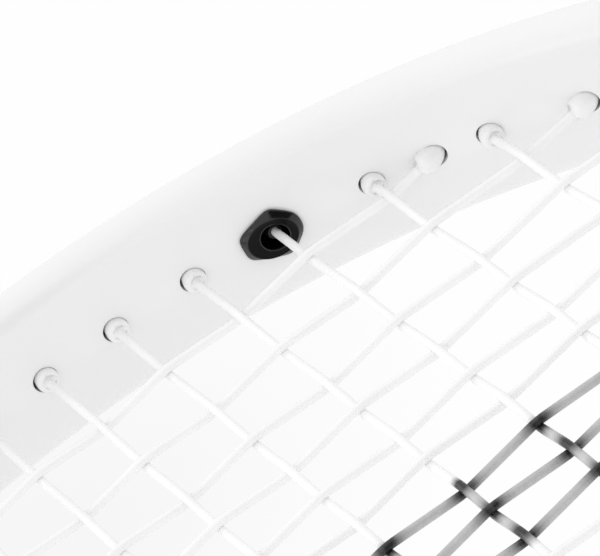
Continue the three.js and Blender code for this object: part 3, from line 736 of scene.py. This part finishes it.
def add_ink(item, between):
    points = np.array([v.co[:] for v in item.data.vertices]) / MM
    share = item.data.attributes.new("ink", "FLOAT", "POINT")
    share.data.foreach_set("value", ink_share(points, between))


def string_material(name, base_hex, tint_hex):
    material, tree, shader, coords = new_material(name)
    amount = add_node(tree, "ShaderNodeAttribute", {"attribute_name": "ink"}).outputs["Fac"]
    speckle = noise(tree, coords, 900, detail=2)
    worn = math_node(tree, "ADD", amount, ramp(tree, speckle, -0.03, 0.03, 0.3, 0.7))
    mask = math_node(tree, "MULTIPLY", worn, ramp(tree, amount, 0, 1, 0.0, 0.12))
    cloud = patches(tree, coords, 150)
    white = blend_colour(tree, cloud, srgb(base_hex), srgb(tint_hex))
    ink = blend_colour(tree, cloud, srgb("161617"), srgb("222224"))
    tree.links.new(blend_colour(tree, mask, white, ink), shader.inputs["Base Color"])
    grain = noise(tree, coords, 500, detail=2)
    tree.links.new(ramp(tree, grain, 0.3, 0.42, 0.3, 0.7), shader.inputs["Roughness"])
    shader.inputs["IOR"].default_value = 1.53
    return material


string_white = string_material("white_nylon_mains", "fafafa", "f7f7f7")   # extruded nylon, IOR 1.53
string_white_crosses = string_material("white_nylon_crosses", "fafafa", "f6f6f6")
string_values = {"Radius": STRING_R * MM, "Sides": 12}
main_string = grown(line_object("main_route", main_route), string_tree,
                    {**string_values, "Material": string_white}, "mains_string")
cross_string = grown(line_object("cross_route", cross_route), string_tree,
                     {**string_values, "Material": string_white_crosses}, "crosses_string")
add_ink(main_string, 0.46)
add_ink(cross_string, 0.3)

# %% [markdown]
# ## Collars and strips
#
# Each string leaves its hole through a small nylon collar that stands up from the strip in the outer
# groove. The drilled hole is a little wider and the string pulls its collar to one side, so a dark
# sliver of the hole shows. A collar bends with its string: each is a tube grown along the string's own
# arc, its radius carried by the line, so one node tree makes all of them. A lathe shape would stand
# square to the wall and cut through the bent string.

# %% Collars
def turned_piece(name, profile, sides=40, shape=None):
    """Rings of (radius, height) in millimetres; shape gives the radius factor round the ring."""
    angle = np.linspace(0, 2 * np.pi, sides, endpoint=False)
    points = []
    for i, (radius, height) in enumerate(profile):
        factor = 1.0 if shape is None else shape(i, angle)
        r = radius * factor * np.ones(sides)
        points += np.stack([r * np.cos(angle), r * np.sin(angle), np.full(sides, height)], -1).tolist()
    piece = mesh_object(name, points, [], ring_faces(len(profile), sides))
    shade_smooth(piece)
    return piece


def plastic(name, base_hex, tint_hex, roughness, grain_mm=0.6, depth_mm=0.01):
    material, tree, shader, coords = new_material(name)
    colour = blend_colour(tree, patches(tree, coords, 120), srgb(base_hex), srgb(tint_hex))
    tree.links.new(colour, shader.inputs["Base Color"])
    grain = noise(tree, coords, 1000 / grain_mm, detail=3)
    tree.links.new(bump(tree, grain, depth_mm, 0.6), shader.inputs["Normal"])
    rough = ramp(tree, grain, roughness * 0.8, roughness * 1.25, 0.3, 0.7)
    tree.links.new(rough, shader.inputs["Roughness"])
    shader.inputs["IOR"].default_value = 1.5
    return material


nylon_white = plastic("white_nylon_fittings", "f6f6f6", "f1f1f1", 0.3)   # nylon 6, IOR 1.53
# A collar is the end of a tube that bends with its string: its rings follow the string's own arc,
# and the lip rounds over into the bore.
tube_tree, given = new_tree("tube_along_lines", [
    ("Sides", "NodeSocketInt"), ("Material", "NodeSocketMaterial")])
line = add_node(tube_tree, "GeometryNodeMeshToCurve", Mesh=given.outputs["Geometry"])
upright = add_node(tube_tree, "GeometryNodeSetCurveNormal", {"mode": "Z_UP"}, Curve=line.outputs[0])
thick = add_node(tube_tree, "GeometryNodeInputNamedAttribute", {"data_type": "FLOAT"}, Name="thick")
sized = add_node(tube_tree, "GeometryNodeSetCurveRadius",
                 Curve=upright.outputs[0], Radius=thick.outputs[0])
ring = add_node(tube_tree, "GeometryNodeCurvePrimitiveCircle",
                Resolution=given.outputs["Sides"], Radius=1.0)
swept = add_node(tube_tree, "GeometryNodeCurveToMesh", Curve=sized.outputs[0])
tube_tree.links.new(ring.outputs[0], swept.inputs["Profile Curve"])
if "Scale" in swept.inputs:
    tube_tree.links.new(thick.outputs[0], swept.inputs["Scale"])
close_tree(tube_tree, swept.outputs[0], given.outputs["Material"])

# Distance past the bend and radius, round the lip to the bore. A main's sleeve tapers on to its string.
CROSS_LIP = [(0.0, 1.6), (0.12, 1.6), (0.3, 1.55), (0.44, 1.45), (0.54, 1.3), (0.58, 1.14), (0.56, 1.0),
             (0.48, 0.9)]
# How much a collar is pulled along its string's lean, for mains and for crosses, and towards +Z.
MAIN_PULL, CROSS_PULL, PULL_UP = 0.12, 0.14, 0.07
MAIN_LIP = [(0.0, 1.64), (0.25, 1.63), (0.55, 1.58), (0.85, 1.48), (1.1, 1.34), (1.28, 1.16),
            (1.36, 0.98), (1.34, 0.86), (1.2, 0.78)]


def collar_lines(name):
    """For each hole, a line up its collar's outside and one down its bore, each point with a radius."""
    points, edges, thick_list = [], [], []

    def add_line(places, radii):
        base = len(points)
        points.extend(places)
        thick_list.extend(radii)
        edges.extend((base + i, base + i + 1) for i in range(len(places) - 1))

    for hole in holes:
        inward = -np.append(hoop_out(hole["s"]), 0.0)
        arc = turn_out(hole["s"], hole["bend"], hole["leaves"], 9)
        lip = MAIN_LIP if hole["main"] else CROSS_LIP
        pull = np.append(lean(hole) * (MAIN_PULL if hole["main"] else CROSS_PULL), PULL_UP)
        leaves = np.array([*hole["leaves"], 0.0])
        stem = [arc[0] - inward * depth for depth in (2.6, 1.6, 0.8)]
        outside = stem + list(arc) + [arc[-1] + leaves * d for d, _ in lip[1:]]
        radii = [1.35, 1.5, 1.56] + [lip[0][1]] * len(arc) + [r for _, r in lip[1:]]
        add_line([p + pull for p in outside], radii)
        bore = [arc[-1] + leaves * lip[-1][0]] + [arc[-1]] + list(arc[::-1][2:-1:2]) + stem[::-1]
        add_line([p + pull for p in bore], [lip[-1][1]] * 2 + [0.84] * (len(bore) - 2))
    lines = mesh_object(name, points, edges)
    radius = lines.data.attributes.new("thick", "FLOAT", "POINT")
    radius.data.foreach_set("value", np.array(thick_list) * MM)
    return lines


collars = grown(collar_lines("collar_lines"), tube_tree,
                {"Sides": 36, "Material": nylon_white}, "string_collars")
print("collars:", len(holes), "locks:", len(lock_holes), "faces:", len(collars.data.polygons))

# %% Strips in the outer groove
all_holes = sorted(hole["s"] % 2 for hole in holes + lock_holes)


def split_near(s):
    above = next(i for i, hole in enumerate(all_holes) if hole > s)
    return (all_holes[above - 1] + all_holes[above]) / 2


BUMPER_SPLIT, SIDE_SPLIT, BRIDGE_SPLIT = split_near(0.79), split_near(0.47), split_near(0.16)
STRIP_GAP = 0.5 / HALF_LENGTH
STRIP_HALF = 3.2
strip_section = rounded_section("strip_section", STRIP_OUT - STRIP_IN, 2 * STRIP_HALF, 0.3,
                                (STRIP_OUT + STRIP_IN) / 2, 4)
GUARD_IN, GUARD_OUT, GUARD_HALF = WALL + 0.3, WALL + 1.8, 7.4
guard_half_outline = np.array([
    [STRIP_OUT, 2.5], [GUARD_OUT - 0.3, 2.6], [GUARD_OUT, 2.9], [GUARD_OUT, 5.0],
    [GUARD_OUT - 0.15, 6.4], [GUARD_OUT - 0.6, 7.1], [GUARD_IN, GUARD_HALF], [GUARD_IN, STRIP_HALF],
    [STRIP_IN, STRIP_HALF]])
guard_section = section_object("guard_section", np.vstack(
    [guard_half_outline, (guard_half_outline * [1, -1])[::-1]]))
bumper_grey = plastic("bumper_nylon", "d2d2d4", "c9c9cb", 0.42, grain_mm=0.5, depth_mm=0.02)
strips = {}
for name, s0, s1, shape in (
        ("strip_left", SIDE_SPLIT, BUMPER_SPLIT, strip_section),
        ("strip_lower_left", BRIDGE_SPLIT, SIDE_SPLIT, strip_section),
        ("strip_lower_right", 2 - SIDE_SPLIT, 2 - BRIDGE_SPLIT, strip_section),
        ("strip_right", 2 - BUMPER_SPLIT, 2 - SIDE_SPLIT, strip_section),
        ("strip_throat", -BRIDGE_SPLIT, BRIDGE_SPLIT, strip_section),
        ("tip_bumper", BUMPER_SPLIT, 2 - BUMPER_SPLIT, guard_section)):
    s = np.linspace(s1 - STRIP_GAP, s0 + STRIP_GAP, 160)
    finish = bumper_grey if shape is guard_section else nylon_white
    strips[name] = swept_piece(name, place(s, np.zeros(len(s))), shape, finish)

# %% [markdown]
# ## String locks
#
# Four string ends are gripped by locks: a glossy black bezel and a plug deep in its bore, whose nose
# closes round the string. The bezel has six uneven sides and is narrower at one end. A chamfer leads
# up to its flat oval face. The outline is worked out from how far each side lies from the bore, and
# the rings blend from that outline to the oval and then to the round bore. Small radii between the
# rings catch thin highlights. The place round each lock stays bare.

# %% Locks
# The bezel's outline: the way each of its six sides faces (degrees) and how far it lies from the bore.
BEZEL_SIDES = [(0, 3.98), (49, 3.66), (112, 3.45), (180, 4.5), (248, 3.45), (311, 3.66)]
BEZEL_CORNER = 9       # the larger, the sharper its corners
# Half length, half width and middle of the flat face inside the chamfer.
FACE_OVAL = (3.5, 2.95, -0.32)
BORE_LIP_R = 2.1
RING_POINTS = 96


def bezel_ring(share):
    """How far one ring lies from the bore's middle: 0 is the outline, 1 the oval, 2 the round bore."""
    angle = np.linspace(0, 2 * np.pi, RING_POINTS, endpoint=False)
    reach = sum(np.maximum(0, np.cos(angle - np.radians(way)) / away) ** BEZEL_CORNER
                for way, away in BEZEL_SIDES)
    outline = reach ** (-1 / BEZEL_CORNER)
    half_long, half_wide, middle = FACE_OVAL
    flat = half_wide ** 2 * np.cos(angle) ** 2 + half_long ** 2 * np.sin(angle) ** 2
    pull = half_wide ** 2 * middle * np.cos(angle)
    oval = (pull + np.sqrt(pull ** 2 - flat * half_wide ** 2 * (middle ** 2 - half_long ** 2))) / flat
    if share <= 1:
        return outline * (1 - share) + oval * share
    return oval * (2 - share) + BORE_LIP_R * (share - 1)


# Which ring, how far it is shrunk, and its height over the seat; then the lip of the bore and the bore.
bezel_rings = [
    (0, 0.985, -0.28), (0, 1, -0.1), (0, 1, 0.1), (0.04, 1, 0.2), (0.15, 1, 0.3), (0.5, 1, 0.5),
    (0.85, 1, 0.7), (0.94, 1, 0.75), (1, 1, 0.77), (1.06, 1, 0.75), (1.15, 1, 0.71), (1.5, 1, 0.66),
    (1.9, 1, 0.64), (2, 1, 0.65), (2, 0.985, 0.69), (2, 0.96, 0.7), (2, 0.935, 0.67), (2, 0.915, 0.58),
    (2, 0.9, -0.6), (2, 0.89, -4.0)]
lock_shape = turned_piece("lock_shape", [(1, height) for _, _, height in bezel_rings], RING_POINTS,
                          lambda i, angle: bezel_ring(bezel_rings[i][0]) * bezel_rings[i][1])
# The rings from here on lie on the face; two of them are the bore's lip.
DISH_FROM, LIP_RINGS = 9, (14, 15)
# This mask marks the face's duller gloss and its blacker colour, which is painted shade of the recess; the
# bore's lip stays polished.
shade = lock_shape.data.attributes.new("dish", "FLOAT", "POINT")
in_dish = np.array([i >= DISH_FROM and i not in LIP_RINGS for i in range(len(bezel_rings))])
shade.data.foreach_set("value", np.repeat(in_dish, RING_POINTS).astype(float))
plug_shape = turned_piece("plug_shape", [
    (1.84, -4.0), (1.84, -2.6), (1.74, -2.46), (1.5, -2.42), (1.1, -2.5), (0.92, -2.7), (0.86, -3.0),
    (0.84, -4.0)])
# The plug's nose closes round the string and leans with it.
nose_shape = turned_piece("nose_shape", [
    (1.05, -1.5), (1.12, 0.3), (1.08, 0.75), (0.98, 0.93), (0.82, 1.0), (0.7, 0.97), (0.65, 0.86),
    (0.63, -1.4)])


def lock_points(name, at_n, on_string=False):
    """A point at each lock, with the way it faces, the way round the hoop and its size."""
    seats = mesh_object(name, [place(hole["s"], at_n) for hole in lock_holes])
    facing = [np.append(hole["leaves"] if on_string else -hoop_out(hole["s"]), 0.0)
              for hole in lock_holes]
    along = [np.append(lean(hole), 0.0) for hole in lock_holes]
    size = [(1.0, 1.0, 1.0)] * len(lock_holes)
    for label, rows in (("facing", facing), ("along", along), ("size", size)):
        attribute = seats.data.attributes.new(label, "FLOAT_VECTOR", "POINT")
        attribute.data.foreach_set("vector", np.array(rows, float).ravel())
    return seats


def fitted(name, points, shape, material):
    return grown(points, fitting_tree, {"Fitting": shape, "Material": material}, name)


def lock_material():
    """Moulded ABS, IOR 1.54: polished outside, and a duller face inside the chamfer, whose blacker colour
    is painted shade of the recess.
    """
    material = plastic("black_gloss_lock", "101011", "161618", 0.14, grain_mm=0.25, depth_mm=0.004)
    tree = material.node_tree
    shader = tree.nodes["Principled BSDF"]
    dish = add_node(tree, "ShaderNodeAttribute", {"attribute_name": "dish"}).outputs["Fac"]
    polished = shader.inputs["Base Color"].links[0].from_socket
    # The face's blacker colour is painted shade of the recess.
    tree.links.new(blend_colour(tree, dish, polished, srgb("040404")), shader.inputs["Base Color"])
    tree.links.new(ramp(tree, dish, 0.5, 0.12), shader.inputs["Specular IOR Level"])
    shader.inputs["IOR"].default_value = 1.54
    return material


lock_gloss = lock_material()
lock_inner = plastic("black_inner_plug", "050506", "0a0a0b", 0.4, grain_mm=0.3, depth_mm=0.01)
LOCK_SEAT = FACE - 0.3
lock_bezels = fitted("lock_bezels", lock_points("lock_points", LOCK_SEAT), lock_shape, lock_gloss)
plug_bodies = fitted("plug_bodies", lock_points("plug_points", LOCK_SEAT), plug_shape, lock_inner)
plug_noses = fitted("plug_noses", lock_points("nose_points", LOCK_BEND, on_string=True),
                    nose_shape, lock_inner)
lock_plugs = joined([plug_bodies, plug_noses], "lock_plugs")

# %% [markdown]
# ## Handle
#
# The grip is a soft perforated wrap wound up an eight-sided handle, held by a glossy tape at its top.
# A rubber collar covers the step down to the shaft and a hard cap closes the butt.
# One routine lays rings of an eight-sided outline with rounded corners along the handle.

# %% Handle shapes
FLATTEN = 0.88
PALLET_R = 14.2
SLEEVE_IN_R = PALLET_R + 0.35
GRIP_R = SLEEVE_IN_R + 2.45
SLEEVE_R = GRIP_R + 0.6
EIGHTH = np.pi / 4


def eight_sided(angle, rounding):
    """Radius factor of an octagon with flats at the top and sides, its corners eased by rounding."""
    off = np.mod(angle + EIGHTH / 2, EIGHTH) - EIGHTH / 2
    flat = np.cos(EIGHTH / 2) / np.cos(off)
    worn = np.cos(EIGHTH / 2) * (1 + (1 / np.cos(EIGHTH / 2) - 1) * (1 - rounding))
    soft = 0.012 * rounding + 1e-6
    blend = np.clip(0.5 + 0.5 * (worn - flat) / soft, 0, 1)
    return worn * (1 - blend) + flat * blend - soft * blend * (1 - blend)


def ringed(name, rings, sides, lift, material):
    """Rings of (x, radius, rounding) in millimetres; lift adds height from x and the turn angle."""
    angle = np.linspace(0, 2 * np.pi, sides, endpoint=False)
    points = []
    for x, radius, rounding in rings:
        r = radius * eight_sided(angle, rounding)
        if lift is not None:
            r = r + lift(x, angle)
        points.append(np.stack([np.full(sides, x), r * np.sin(angle) * FLATTEN, r * np.cos(angle)], -1))
    item = mesh_object(name, np.vstack(points), [], ring_faces(len(rings), sides, closed=True))
    shade_smooth(item)
    item.data.materials.append(material)
    face_outwards(item)
    return item


# %% Wrapped grip
WRAP_PITCH = 21.0     # one turn of the tape moves on by this much
WRAP_EDGE = 0.05      # share of the pitch over which the lap drops


def wrap_lift(x, angle):
    share = np.mod(x / WRAP_PITCH - angle / (2 * np.pi), 1)
    rise = np.where(share < 1 - WRAP_EDGE, share / (1 - WRAP_EDGE), (1 - share) / WRAP_EDGE)
    return 0.42 * (rise - 0.75)


sleeve_x = np.arange(12.6, 187, 0.5)
sleeve_r = np.interp(sleeve_x, [12, 19, 40, 172.5, 173.8, 187],
                     [SLEEVE_R + 1.0, SLEEVE_R + 0.5, GRIP_R, GRIP_R, GRIP_R - 0.4, GRIP_R - 0.4])
outer = [(x, r, 0.45) for x, r in zip(sleeve_x, sleeve_r)]
inner = [(187.0, SLEEVE_IN_R + 0.3, 0.3), (187.0, SLEEVE_IN_R, 0.1), (27.3, SLEEVE_IN_R, 0.1),
         (27.3, 16.3, 0.35), (22.4, 16.3, 0.35), (22.0, 17.4, 0.55), (12.0, 17.4, 0.55),
         (12.0, 18.0, 0.3), (12.2, 18.3, 0.4)]


def sleeve_lift(x, angle):
    covered = 1.0 if 12.5 < x < 172 else 0.3 if x > 172 and x < 187 else 0.0
    return covered * wrap_lift(x, angle)


def grip_material():
    """Soft polyurethane wrap, IOR 1.5: a fine leather grain with a row pattern of pierced holes."""
    material, tree, shader, coords = new_material("black_wrap")
    parts = add_node(tree, "ShaderNodeSeparateXYZ", Vector=coords)

    def calc(operation, first, second=None):
        return math_node(tree, operation, first, second)

    across = calc("DIVIDE", parts.outputs["Y"], FLATTEN)
    turn = calc("DIVIDE", calc("ARCTAN2", across, parts.outputs["Z"]), 2 * np.pi)
    wound = calc("SUBTRACT", calc("DIVIDE", parts.outputs["X"], WRAP_PITCH * MM), turn)
    share = calc("FRACT", calc("ADD", wound, 8))
    rows, around = 7, 36
    down = calc("MULTIPLY", share, rows)
    row = calc("FLOOR", down)
    across_holes = calc("MULTIPLY", calc("ADD", turn, 2), around)
    along = calc("FRACT", calc("ADD", across_holes, calc("MULTIPLY", row, 0.5)))
    u = calc("SUBTRACT", along, 0.5)
    v = calc("SUBTRACT", calc("FRACT", down), 0.5)
    away = calc("SQRT", calc("ADD", calc("MULTIPLY", u, u), calc("MULTIPLY", v, v)))
    hole = ramp(tree, away, 1, 0, 0.1, 0.18)
    lap = ramp(tree, share, 0, 1, 0.962, 0.985)
    leather = blend_colour(tree, patches(tree, coords, 90, detail=4), srgb("202022"), srgb("2a2a2c"))
    pierced = blend_colour(tree, hole, leather, srgb("080809"))
    colour = blend_colour(tree, calc("MULTIPLY", lap, 0.7), pierced, srgb("0c0c0d"))
    tree.links.new(colour, shader.inputs["Base Color"])
    grain = noise(tree, coords, 2400, detail=3, roughness=0.6)
    height = calc("SUBTRACT", grain, calc("MULTIPLY", hole, 3.0))
    tree.links.new(bump(tree, height, 0.08, 0.7), shader.inputs["Normal"])
    tree.links.new(ramp(tree, grain, 0.62, 0.85, 0.3, 0.7), shader.inputs["Roughness"])
    shader.inputs["IOR"].default_value = 1.5
    shader.inputs["Sheen Weight"].default_value = 0.15
    return material


grip = ringed("grip_wrap", outer + inner, 192, sleeve_lift, grip_material())

# %% Butt cap, end disc, tape and collar
# The cap is polypropylene, the tape PVC and the collar rubber.
cap_black = plastic("black_butt_cap", "1a1a1c", "222224", 0.42, grain_mm=0.35, depth_mm=0.02)
disc_black = plastic("black_end_disc", "262628", "2d2d2f", 0.35, grain_mm=0.3, depth_mm=0.01)
tape_black = plastic("black_gloss_tape", "0f0f11", "161618", 0.28, grain_mm=2.5, depth_mm=0.05)
collar_black = plastic("black_rubber_collar", "171719", "1f1f21", 0.6, grain_mm=0.3, depth_mm=0.02)

cap_rings = [(2.9, 0.02), (2.9, 7.8), (0.35, 7.8), (0.08, 7.95), (0.0, 8.2), (0.0, 12.5), (0.0, 16.6),
             (0.12, 17.2), (0.5, 17.8), (1.2, 18.3), (2.4, 18.75), (4.0, 18.95), (5.6, 18.9),
             (7.4, 18.55), (9.2, 18.1), (10.8, 17.75), (11.5, 17.5), (11.7, 17.2), (11.7, 15.85),
             (27.0, 15.85), (27.0, 14.55), (6.5, 14.55), (6.5, 0.02)]
butt_cap = ringed("butt_cap_shell", [(x, r, 0.35) for x, r in cap_rings], 160, None, cap_black)

disc_rings = [(0.3, 0.02), (0.3, 3.0), (0.3, 5.9), (0.22, 6.1), (0.08, 6.25), (0.05, 6.5), (0.05, 7.0),
              (0.12, 7.25), (0.35, 7.42), (0.7, 7.48), (2.6, 7.48), (2.6, 0.02)]
end_disc = ringed("butt_disc", [(x, r, 0.35) for x, r in disc_rings], 96, None, disc_black)

TAPE_IN_R = GRIP_R - 0.05


def tape_lift(x, angle):
    """A slack wave along both edges of the stretched tape, and its lap seam."""
    wave = 0.05 * np.sin(5 * angle + x) + 0.03 * np.sin(11 * angle - 0.7 * x)
    seam = 0.12 * (np.mod(angle / (2 * np.pi) - x / 160, 1) < 0.12)
    return np.full_like(angle, -0.14) + wave + seam if 174.1 < x < 184.9 else 0 * angle


tape_rings = [(174.0, TAPE_IN_R), (174.05, TAPE_IN_R + 0.45), (174.2, TAPE_IN_R + 0.6)]
tape_rings += [(x, TAPE_IN_R + 0.7) for x in np.arange(174.6, 184.5, 0.5)]
tape_rings += [(184.8, TAPE_IN_R + 0.6), (184.95, TAPE_IN_R + 0.45), (185.0, TAPE_IN_R)]
tape = ringed("grip_end_tape", [(x, r, 0.4) for x, r in tape_rings], 160, tape_lift, tape_black)

collar_x = np.arange(188.2, 214.6, 0.3)
collar_r = np.interp(collar_x, [187.3, 195, 210, 216], [SLEEVE_R - 0.4, SLEEVE_R - 0.9, 14.5, 13.1])


def collar_lift(x, angle):
    """Five soft rings moulded round the collar."""
    if not 193 < x < 211:
        return 0 * angle
    return np.full_like(angle, -0.4 * (0.5 - 0.5 * math.cos(2 * math.pi * (x - 193) / 3.6)) ** 3)


collar_rings = [(187.3, SLEEVE_IN_R, 0.2), (187.3, SLEEVE_R - 1.0, 0.3), (187.6, SLEEVE_R - 0.6, 0.35)]
collar_rings += [(x, r, float(np.interp(x, [188, 216], [0.35, 0.9])))
                 for x, r in zip(collar_x, collar_r)]
collar_rings += [(215.4, 13.1, 0.9), (215.85, 12.8, 0.9), (216.0, 12.4, 0.9), (216.0, 11.8, 0.6),
                 (190.3, 11.8, 0.6), (190.3, SLEEVE_IN_R, 0.2)]
collar = ringed("rubber_collar", collar_rings, 160, collar_lift, collar_black)

# %% [markdown]
# ## Inner pieces
#
# Two foam half-shells fill the handle and two steel staples pin the butt cap. They are hidden, so the
# solids stay, but each still gets its own finish.

# %% Inner pieces and ownership
# Rigid polyurethane foam, and zinc-coated steel wire.
foam = plastic("moulded_foam", "cfcbbf", "bdb9ac", 0.85, grain_mm=0.7, depth_mm=0.08)
steel = plastic("staple_steel_wire", "a9abae", "8f9194", 0.32, grain_mm=0.15, depth_mm=0.004)
steel.node_tree.nodes["Principled BSDF"].inputs["Metallic"].default_value = 1.0
for node_name, finish, slot_name in (
        ("handle_pallet_upper", foam, "handle_foam"), ("handle_pallet_lower", foam, "handle_foam"),
        ("staple_upper", steel, "staple_steel"), ("staple_lower", steel, "staple_steel")):
    solid = frame["nodes"][node_name]
    solid.data.materials.clear()
    solid.data.materials.append(finish)

own = [
    (racket_frame, "frame_lacquer", ["frame"]),
    (collars, "grommet_plastic", []),
    (strips["strip_left"], "grommet_plastic", ["grommet_strip_left"]),
    (strips["strip_right"], "grommet_plastic", ["grommet_strip_right"]),
    (strips["strip_lower_left"], "grommet_plastic", ["grommet_strip_lower_left"]),
    (strips["strip_lower_right"], "grommet_plastic", ["grommet_strip_lower_right"]),
    (strips["strip_throat"], "grommet_plastic", ["grommet_strip_throat"]),
    (strips["tip_bumper"], "bumper_plastic", ["head_bumper"]),
    (main_string, "main_string_white", ["main_string"]),
    (cross_string, "cross_string_white", ["cross_string"]),
    (lock_bezels, "lock_gloss_black",
     ["lock_socket_1", "lock_socket_2", "lock_socket_3", "lock_socket_4"]),
    (lock_plugs, "lock_inner_black", ["lock_plug_1", "lock_plug_2", "lock_plug_3", "lock_plug_4"]),
    (grip, "grip_wrap", ["grip_sleeve"]),
    (butt_cap, "butt_cap_plastic", ["butt_cap"]),
    (end_disc, "disc_plastic", ["end_disc"]),
    (tape, "tape_gloss", ["finishing_tape"]),
    (collar, "collar_rubber", ["shaft_collar"]),
]
for piece, slot_name, stands_for in own:
    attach(piece, "root")
    if stands_for:
        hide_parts(*stands_for)
for helper in (hoop_section, arm_section, shaft_section, strip_section, guard_section,
               lock_shape, plug_shape, nose_shape):
    bpy.data.objects.remove(helper)
print("pieces:", len(own))

# %% [markdown]
# ## Floor and light
#
# The white racket floats over a white sheet: only soft greys give it shape. A broad lamp behind and
# above lights the strings and the rim; the near inner wall, turned from it, falls a tone darker. The
# sheet's own tone, not more light, makes the background white, and a soft painted shadow of the racket
# lies on it. A painted reflection darkens one side of the room for glossy rays only, so glossy black
# pieces keep a dark side while the white stays even.

# %% Floor, world and lamps
FLOOR_DEPTH = 0.30
# The racket's shadow on the sheet is painted into the tone the camera sees, deepest here and fading out.
PAINTED_SHADOW_AT = (0.61, 0.455)      # where the racket's soft shade on the sheet is deepest
PAINTED_SHADOW_REACH = (0.02, 0.105)
# The way of the painted dark reflection, seen by glossy rays only.
PAINTED_REFLECTION_SIDE = (0.66, -0.66, 0.36)


def simple_sheet(name, size, height, hex_seen, hex_painted_shadow, hex_lit):
    """A flat sheet. The camera sees a set tone with a soft painted shadow of the racket; other rays meet a
    plain matt surface.
    """
    half = size / 2
    mesh = bpy.data.meshes.new(name)
    corners = [(-half, -half), (half, -half), (half, half), (-half, half)]
    mesh.from_pydata([(x, y, height) for x, y in corners], [], [(0, 1, 2, 3)])
    material = bpy.data.materials.new(name)
    material.use_nodes = True
    tree = material.node_tree
    tree.nodes.remove(tree.nodes["Principled BSDF"])
    path = add_node(tree, "ShaderNodeLightPath")
    coords = add_node(tree, "ShaderNodeTexCoord").outputs["Object"]
    away = add_node(tree, "ShaderNodeVectorMath", {"operation": "DISTANCE"},
                    i0=coords, i1=(*PAINTED_SHADOW_AT, height))
    painted_shadow_fade = ramp(tree, away.outputs["Value"], 0, 1, *PAINTED_SHADOW_REACH)
    tone = blend_colour(tree, painted_shadow_fade, srgb(hex_painted_shadow), srgb(hex_seen))
    seen = add_node(tree, "ShaderNodeEmission", Color=tone, Strength=1.0)
    lit = add_node(tree, "ShaderNodeBsdfDiffuse", Color=srgb(hex_lit))
    mixed = add_node(tree, "ShaderNodeMixShader", i0=path.outputs["Is Camera Ray"],
                     i1=lit.outputs[0], i2=seen.outputs[0])
    tree.links.new(mixed.outputs[0], tree.nodes["Material Output"].inputs["Surface"])
    mesh.materials.append(material)
    return new_object(name, mesh)


# The second tone is the painted shadow of the racket, seen by the camera only.
floor = simple_sheet("floor_sheet", 12.0, -FLOOR_DEPTH, "fefefe", "f6f6f6", "f6f6f6")

world = bpy.data.worlds.new("studio")
bpy.context.scene.world = world
world.use_nodes = True
background = world.node_tree.nodes["Background"]
background.inputs["Strength"].default_value = 0.97
# A painted reflection: glossy rays alone see one side of the room dark, while diffuse light from there
# stays white.
room = world.node_tree
way = add_node(room, "ShaderNodeTexCoord").outputs["Generated"]
facing_dark = add_node(room, "ShaderNodeVectorMath", {"operation": "DOT_PRODUCT"}, i0=way, i1=PAINTED_REFLECTION_SIDE)
painted_dark_reflection = ramp(room, facing_dark.outputs["Value"], 0, 1, 0.6, 0.75)
glossy = add_node(room, "ShaderNodeLightPath").outputs["Is Glossy Ray"]
in_mirror = math_node(room, "MULTIPLY", painted_dark_reflection, glossy)
room_colour = blend_colour(room, in_mirror, srgb("ffffff"), srgb("202020"))
room.links.new(room_colour, background.inputs["Color"])


def area_lamp(name, place_m, target_m, size_m, watts, shine):
    data = bpy.data.lights.new(name, "AREA")
    data.shape = "RECTANGLE"
    data.size, data.size_y = size_m
    data.energy = watts
    data.specular_factor = shine
    lamp = new_object(name, data)
    lamp.visible_camera = False
    aim = Vector(target_m) - Vector(place_m)
    lamp.matrix_world = Matrix.Translation(place_m) @ aim.to_track_quat("-Z", "Y").to_matrix().to_4x4()
    return lamp


HEAD = (0.6, 0.05, 0.0)
area_lamp("key_lamp", (-0.6, 1.35, 1.0), HEAD, (1.6, 1.6), 7.0, 0.7)
area_lamp("fill_lamp", (-1.2, -0.6, 0.4), HEAD, (1.4, 1.4), 2.0, 0.05)
bpy.context.scene.view_settings.view_transform = "Standard"
